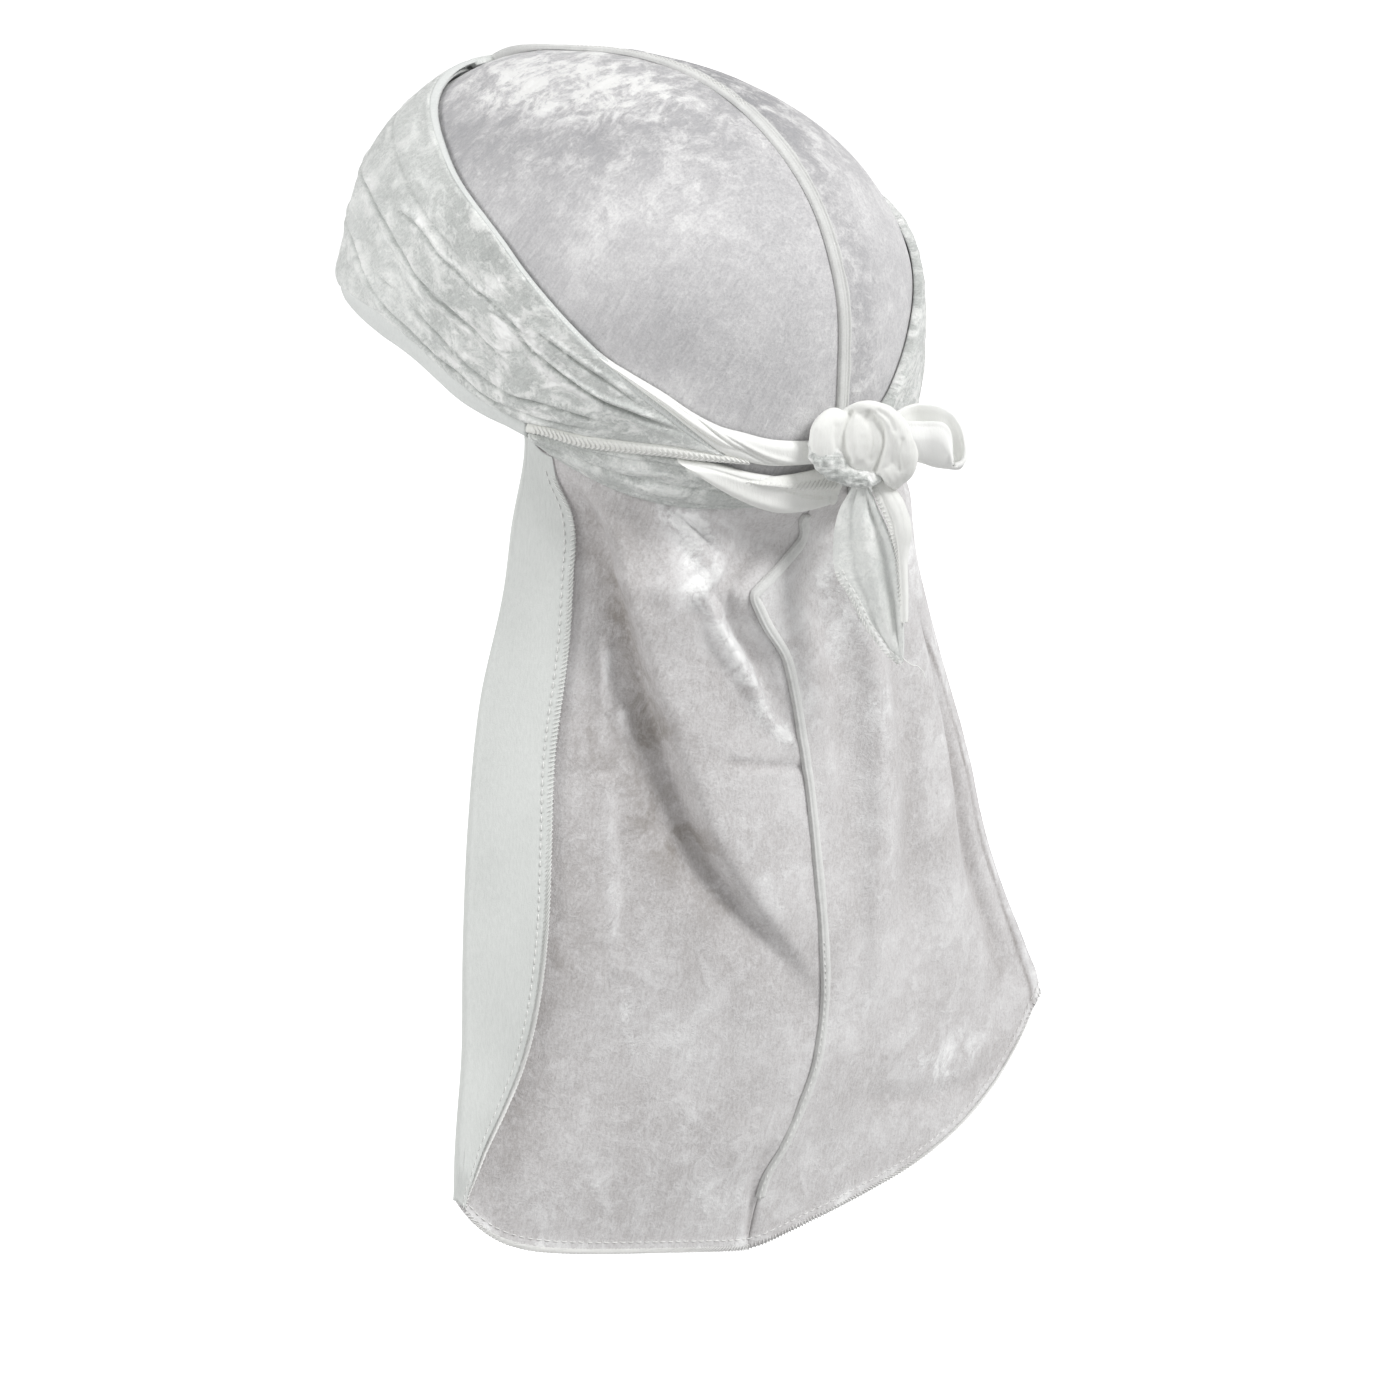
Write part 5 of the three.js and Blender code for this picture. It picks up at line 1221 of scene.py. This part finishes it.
def bow_loop():
    """A strap folded on itself: its front edge, bottom fold and rear edge as right, up and near."""
    front = catmull([(8, 6.6, 4.0), (14, 7.4, 5.4), (20, 7.5, 5.6), (25, 7.3, 5.4), (27.4, 5.4, 5.2),
                     (28.3, 1.4, 4.6), (28.5, -3, 4.0), (28.9, -6.2, 3.0)], 120)
    fold = catmull([(9, -6.0, 2.0), (13, -5.4, 2.6), (17, -5.0, 3.0), (20, -5.6, 3.0), (23, -6.6, 2.8),
                    (26, -7.0, 2.6), (28, -6.6, 2.6), (29.3, -6.6, 2.8)], 120)
    rear = catmull([(8, 7.6, -1.5), (12, 11.2, -2.8), (16, 12.9, -3.4), (20.4, 13.3, -3.6),
                    (25.4, 12.3, -3.4), (29.8, 9.5, -2.6), (32.4, 5.2, -1.2), (33.6, -0.5, 0.4),
                    (33.2, -4.4, 1.6), (31.8, -6.1, 2.4), (29.8, -6.7, 2.8)], 120)
    t = np.linspace(0, 1, 120)[:, None]
    s = np.linspace(0, 1, 61)[None, :]
    ahead = (1 - smooth(0.72, 1.0, t)) * np.array([0.6, 0.2, 2.6])
    front_mid = (front + fold) / 2 + ahead
    behind = ((1 - smooth(0.75, 1.0, t)) * np.array([1.2, -2.0, -3.4])
              + smooth(0.6, 0.85, t) * np.array([1.6, -0.8, -0.6]) * (1 - t))
    rear_mid = (rear + fold) / 2 + behind
    keys = np.stack([front, front_mid, fold, rear_mid, rear], axis=1)
    place = s * 4
    i = np.minimum(place.astype(int), 3)[0]
    f = (place - i)[0][None, :, None]
    before = keys[:, np.maximum(i - 1, 0)]
    a, b = keys[:, i], keys[:, i + 1]
    after = keys[:, np.minimum(i + 2, 4)]
    out = (a * (2 * f ** 3 - 3 * f ** 2 + 1) + b * (3 * f ** 2 - 2 * f ** 3)
           + (b - before) / 2 * (f ** 3 - 2 * f ** 2 + f) + (after - a) / 2 * (f ** 3 - f ** 2))
    out[..., 2] += 0.35 * np.sin(out[..., 0] * 0.5 + out[..., 1] * 0.25) * (1 - smooth(0.7, 1, t))
    middle = knot_place(out)
    normals = grid_normals(middle)
    far = np.minimum(s, 1 - s) * 22
    wall = STRAP_WALL + 0.5 * (1 - smooth(1.0, 2.0, far)) + 0 * t
    relief = 0.2 * noise(middle, 7, 91, 2)
    outer, inner = cloth_faces(middle, normals, wall, relief)
    return add_sheet("bow_loop_cloth", outer, inner, white_knit, white_knit,
                     {"tone": 0.58 + 0.04 * noise(middle, 8, 92), "crush": 0 * middle[..., 0]})


bow = bow_loop()


def strap_end(name, rows, finish, fold, look):
    """A hanging strap end: up, left edge, right edge and nearness for each row."""
    count = 120
    line = catmull(rows, count)
    s = np.linspace(0, 1, 45)[None, :]
    r = line[:, 1:2] + (line[:, 2:3] - line[:, 1:2]) * s
    u = line[:, 0:1] + 0 * s
    n = line[:, 3:4] + fold(s, np.linspace(0, 1, count)[:, None])
    middle = knot_place(np.stack(np.broadcast_arrays(r, u, n), axis=-1))
    normals = grid_normals(middle)
    edge = np.minimum(s, 1 - s) * (line[:, 2:3] - line[:, 1:2])
    wall = STRAP_WALL + 0.5 * (1 - smooth(1.6, 2.6, edge))
    relief = 0.2 * noise(middle, 6, 95, 2)
    outer, inner = cloth_faces(middle, normals, wall, relief)
    t = 0.08 * noise(middle, 8, 96, 2)
    c = 0.5 + 0 * t
    t, c = look(r + 0 * u, u + 0 * r, t, c, s * (line[:, 2:3] - line[:, 1:2]))
    return add_sheet(name, outer, inner, finish, finish, {"tone": t, "crush": c}), outer, normals


def end_look(r, u, tone, crush, from_left):
    """The hem across the tip is smooth and pale, with painted shade along its inner edge; painted shade lies
    in the fold's valley and a painted highlight on the ridge beside it.
    """
    hem = smooth(-38, -44, u) * (1 - smooth(2.4, 2.8, from_left))
    tone = tone + 0.25 + 0.2 * hem - 0.25 * bell(from_left, 3.0, 0.4) * smooth(-38, -44, u)
    valley_shade = bell(r, 7.4 - 0.11 * (u + 29), 2.2) * smooth(-20, -30, u) * (1 - smooth(-55, -66, u))
    return tone - 0.2 * valley_shade + 0.1 * bell(r, 3.0, 1.8) * smooth(-48, -36, u), crush * (1 - 0.8 * hem)


end_front, end_front_grid, end_front_normal = strap_end("strap_end_front_cloth", [
    (-12, -3.0, 2.4, 1.5), (-14.5, -3.4, 2.4, 2.2), (-17.2, -4.8, 3.6, 2.6), (-21.5, -7.1, 5.4, 2.8),
    (-29, -8.7, 9.0, 2.6), (-37.1, -8.8, 11.7, 2.2), (-42.5, -7.7, 12.6, 1.8), (-47.8, -4.4, 13.3, 1.4),
    (-53, -1.6, 13.7, 1.1), (-58.6, 1.2, 14.0, 0.8), (-66.7, 7.4, 14.2, 0.4),
    (-71.3, 12.4, 13.9, 0.2)], end_velvet,
    lambda s, t: (1.0 * bell(s, 0.55, 0.14) - 1.7 * bell(s, 0.82, 0.11) + 0.6 * bell(s, 0.12, 0.12)
                  - 0.4 * bell(s, 0.32, 0.10)) * smooth(0.03, 0.3, t) * (1 - smooth(0.75, 1.0, t)) + 1.0 * s,
    look=end_look)
end_rear, end_rear_grid, end_rear_normal = strap_end("strap_end_rear_cloth", [
    (-11, 3.0, 7.5, 0.5), (-14, 3.8, 10.0, 1.6), (-18.3, 5.5, 13.2, 3.2), (-24.7, 8.6, 15.5, 3.8),
    (-29, 9.9, 15.8, 3.8),
    (-33.3, 11.2, 15.1, 3.4), (-37.6, 12.0, 14.6, 3.0), (-43, 12.8, 14.6, 2.6), (-50, 13.4, 14.9, 2.2),
    (-58, 13.9, 14.8, 1.8)], white_knit,
    lambda s, t: 1.3 * np.sin(math.pi * s) - 0.5 * bell(s, 0.25, 0.1),
    look=lambda r, u, t, c, f: (t + 0.12, c))


# Stitches
def inset(grid, normals, reach, edge):
    """A line that runs a distance in mm inside one edge of a grid, with its normals."""
    if edge in ("left", "right"):
        grid, normals = np.swapaxes(grid, 0, 1), np.swapaxes(normals, 0, 1)
    if edge == "left":
        grid, normals = grid[::-1], normals[::-1]
    far = np.concatenate([np.zeros((1, grid.shape[1])),
                          np.cumsum(np.linalg.norm(np.diff(grid[::-1], axis=0), axis=-1), axis=0)])
    line, out = [], []
    for k in range(grid.shape[1]):
        column = grid[::-1, k]
        line.append([np.interp(reach, far[:, k], column[:, c]) for c in range(3)])
        out.append(normals[-1, k])
    return np.array(line), np.array(out)


def overlock(grid, normals, edge, reach=1.7, pitch=1.35):
    """Short threads over an edge."""
    outer, out = inset(grid, normals, 0.0, edge)
    inner_line, _ = inset(grid, normals, reach, edge)
    first = resample(outer, pitch)
    at, keys = np.linspace(0, 1, len(first)), np.linspace(0, 1, len(inner_line))
    second = np.column_stack([np.interp(at, keys, inner_line[:, c]) for c in range(3)])
    up = resample_like(outer, out, first)
    way = unit(np.gradient(first, axis=0))
    jitter = noise(first, 2.1, 101)[:, None]
    paths = []
    for a, b, n, w, j in zip(first, second, up, way, jitter):
        b = b + w * 0.3 * j
        past = a + unit(a - b) * 0.25 + n * (0.2 * j)
        paths.append(np.array([past, a + n * 0.42, (a + b) / 2 + n * 0.4, b + n * 0.12]))
    return paths


def topstitch(grid, normals, edge, reach=3.9, pitch=3.0, length=2.1):
    """Short threads along a hem, inside its edge."""
    line, out = inset(grid, normals, reach, edge)
    return stitch_paths(line, out, pitch, length, sink=0.1, lift=0.28)


tail_left_grid, tail_left_normal = grids["tail_left"]
tail_right_grid, tail_right_normal = grids["tail_right"]
cuff_grid, cuff_normal = grids["cuff"]
add_threads("tail_overlock", overlock(tail_left_grid, tail_left_normal, "end")
            + overlock(tail_right_grid, tail_right_normal, "end"), OVERLOCK_THREAD, 4)
add_threads("tail_topstitch", topstitch(tail_left_grid, tail_left_normal, "end")
            + topstitch(tail_right_grid, tail_right_normal, "end"), TOPSTITCH_THREAD, 5)
add_threads("cuff_overlock", overlock(cuff_grid[8:], cuff_normal[8:], "right", 1.5), OVERLOCK_THREAD, 4)
add_threads("cuff_topstitch", topstitch(cuff_grid[8:], cuff_normal[8:], "right", 3.4, 2.8, 2.0),
            TOPSTITCH_THREAD, 5)


def lined(grid, at, first, last):
    """A line of a strap's grid at a share across it, with normals away from the head."""
    line = grid[first:last]
    k = at * (line.shape[1] - 1)
    i = int(k)
    j = min(i + 1, line.shape[1] - 1)
    path = line[:, i] * (1 - (k - i)) + line[:, j] * (k - i)
    return path, unit(path * [1, 1, 0.8])


def over_hem(grid, low, high, pitch, first, last, lift, lean):
    """Threads to and fro over a hem, between two lines of its grid."""
    path, n = lined(grid, low, first, last)
    a = resample(path, pitch)
    b = resample(lined(grid, high, first, last)[0], pitch)
    count = min(len(a), len(b))
    n = resample_like(path, n, a)
    paths = []
    for k in range(count - 1):
        p, q, up = a[k], b[k] + (b[k + 1] - b[k]) * lean, n[k]
        paths.append(np.array([p + up * 0.05, p * 0.7 + q * 0.3 + up * lift,
                               p * 0.3 + q * 0.7 + up * lift, q + up * 0.05]))
    return paths


count = len(roll_grid)
add_threads("roll_stitches", over_hem(roll_grid, 0.12, 0.8, 1.4, int(count * 0.8), count - 2, 0.4, 0.5),
            HEM_THREAD, 4)
add_threads("hem_stitches", over_hem(strand_hem_grid, 0.15, 0.48, 1.6, 2, None, 0.4, 1.0)
            + over_hem(strand_hem_grid, 0.85, 0.52, 1.6, 2, None, 0.4, 1.0), HEM_THREAD, 4)
add_threads("band_stitches", over_hem(band_stitched_grid, 0.5, 0.78, 1.7, 4, None, 0.4, 0.6)
            + over_hem(band_matte_grid, 0.86, 0.98, 1.7, 18, None, 0.35, 0.6), HEM_THREAD, 4)
seam_threads = []
for line in (seam_lines[0][1], seam_lines[0][2]):
    part = line[70:190]
    seam_threads += stitch_paths(part, unit(part), 2.3, 1.6, sink=0.1, lift=0.22)
add_threads("seam_stitches", seam_threads, FINE_THREAD, 5)
seam_ridge = tail_seam_grid[int(len(tail_seam_grid) * 0.62):, 10]
seam_out = np.broadcast_to([0.3, 1.0, 0.0], seam_ridge.shape)
add_threads("tail_seam_stitches", stitch_paths(seam_ridge, seam_out, 2.6, 1.6), TOPSTITCH_THREAD, 5)
add_threads("strap_end_stitches",
            overlock(end_rear_grid[14:110], end_rear_normal[14:110], "left", 1.3, 1.3)
            + topstitch(end_front_grid[62:], end_front_normal[62:], "left", 2.7, 2.4, 1.7)
            + overlock(end_front_grid[62:], end_front_normal[62:], "left", 1.2, 1.4), FINE_THREAD, 4)

loose = knot_place(catmull([(14.0, -69.8, 1.2), (15.6, -71.2, 1.6), (17.2, -72.2, 1.4), (18.9, -72.6, 1.0),
                            (20.6, -74.4, 0.6), (21.4, -76.6, 0.4)], 40))
add_threads("loose_thread", [loose], LOOSE_THREAD, 6)

# Hide the imported part that each piece stands for
for piece, node in [
    (crown_left, "crown_left"), (crown_right, "crown_right"), (seam, "crown_seam"), (hem, "front_hem"),
    (wrap_left, "wrap_left"), (wrap_right, "wrap_right"), (strand_top, "upper_strand"),
    (band_low, "under_wrap_left"), (under_right, "under_wrap_right"), (tail_left, "tail_left"),
    (tail_right, "tail_right"), (tail_seam, "tail_seam"), (knot_core, "knot"), (bow, "bow_loop"),
    (end_front, "strap_end_front"), (end_rear, "strap_end_rear")]:
    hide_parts(node)


# Floor and light, in metres and watts
FLOOR_LEVEL = -0.56
FLOOR_HALF = 12
WORLD_STRENGTH = 0.53
KEY_POWER = 88
SIDE_POWER = 15


def add_floor():
    m = material("floor_paint")
    g = Graph(m)
    shader = g.add("ShaderNodeBsdfPrincipled", {
        "Base Color": (0.93, 0.93, 0.93, 1), "Roughness": 0.9,
        "Emission Color": (1, 1, 1, 1), "Emission Strength": 0.6})
    g.add("ShaderNodeOutputMaterial", {"Surface": shader.outputs[0]})
    me = bpy.data.meshes.new("floor")
    e, z = FLOOR_HALF, FLOOR_LEVEL
    me.from_pydata([(-e, -e, z), (e, -e, z), (e, e, z), (-e, e, z)], [], [(0, 1, 2, 3)])
    me.materials.append(m)
    floor = bpy.data.objects.new("floor", me)
    bpy.context.scene.collection.objects.link(floor)
    floor.visible_diffuse = False


def add_area(name, place, target, size, power):
    data = bpy.data.lights.new(name, "AREA")
    data.shape = "DISK"
    data.size = size
    data.energy = power
    lamp = bpy.data.objects.new(name, data)
    lamp.location = place
    lamp.rotation_euler = (Vector(target) - Vector(place)).to_track_quat("-Z", "Y").to_euler()
    bpy.context.scene.collection.objects.link(lamp)


def add_light():
    world = bpy.data.worlds.new("studio")
    world.use_nodes = True
    world.node_tree.nodes["Background"].inputs[0].default_value = (1, 1, 1, 1)
    world.node_tree.nodes["Background"].inputs[1].default_value = WORLD_STRENGTH
    bpy.context.scene.world = world
    add_area("key", (-1.1, 2.4, 2.3), (0, 0, -0.14), 1.3, KEY_POWER)
    add_area("side", (1.7, -0.5, 0.6), (0, 0, -0.08), 0.9, SIDE_POWER)


add_floor()
add_light()
bpy.context.scene.view_settings.view_transform = "Standard"
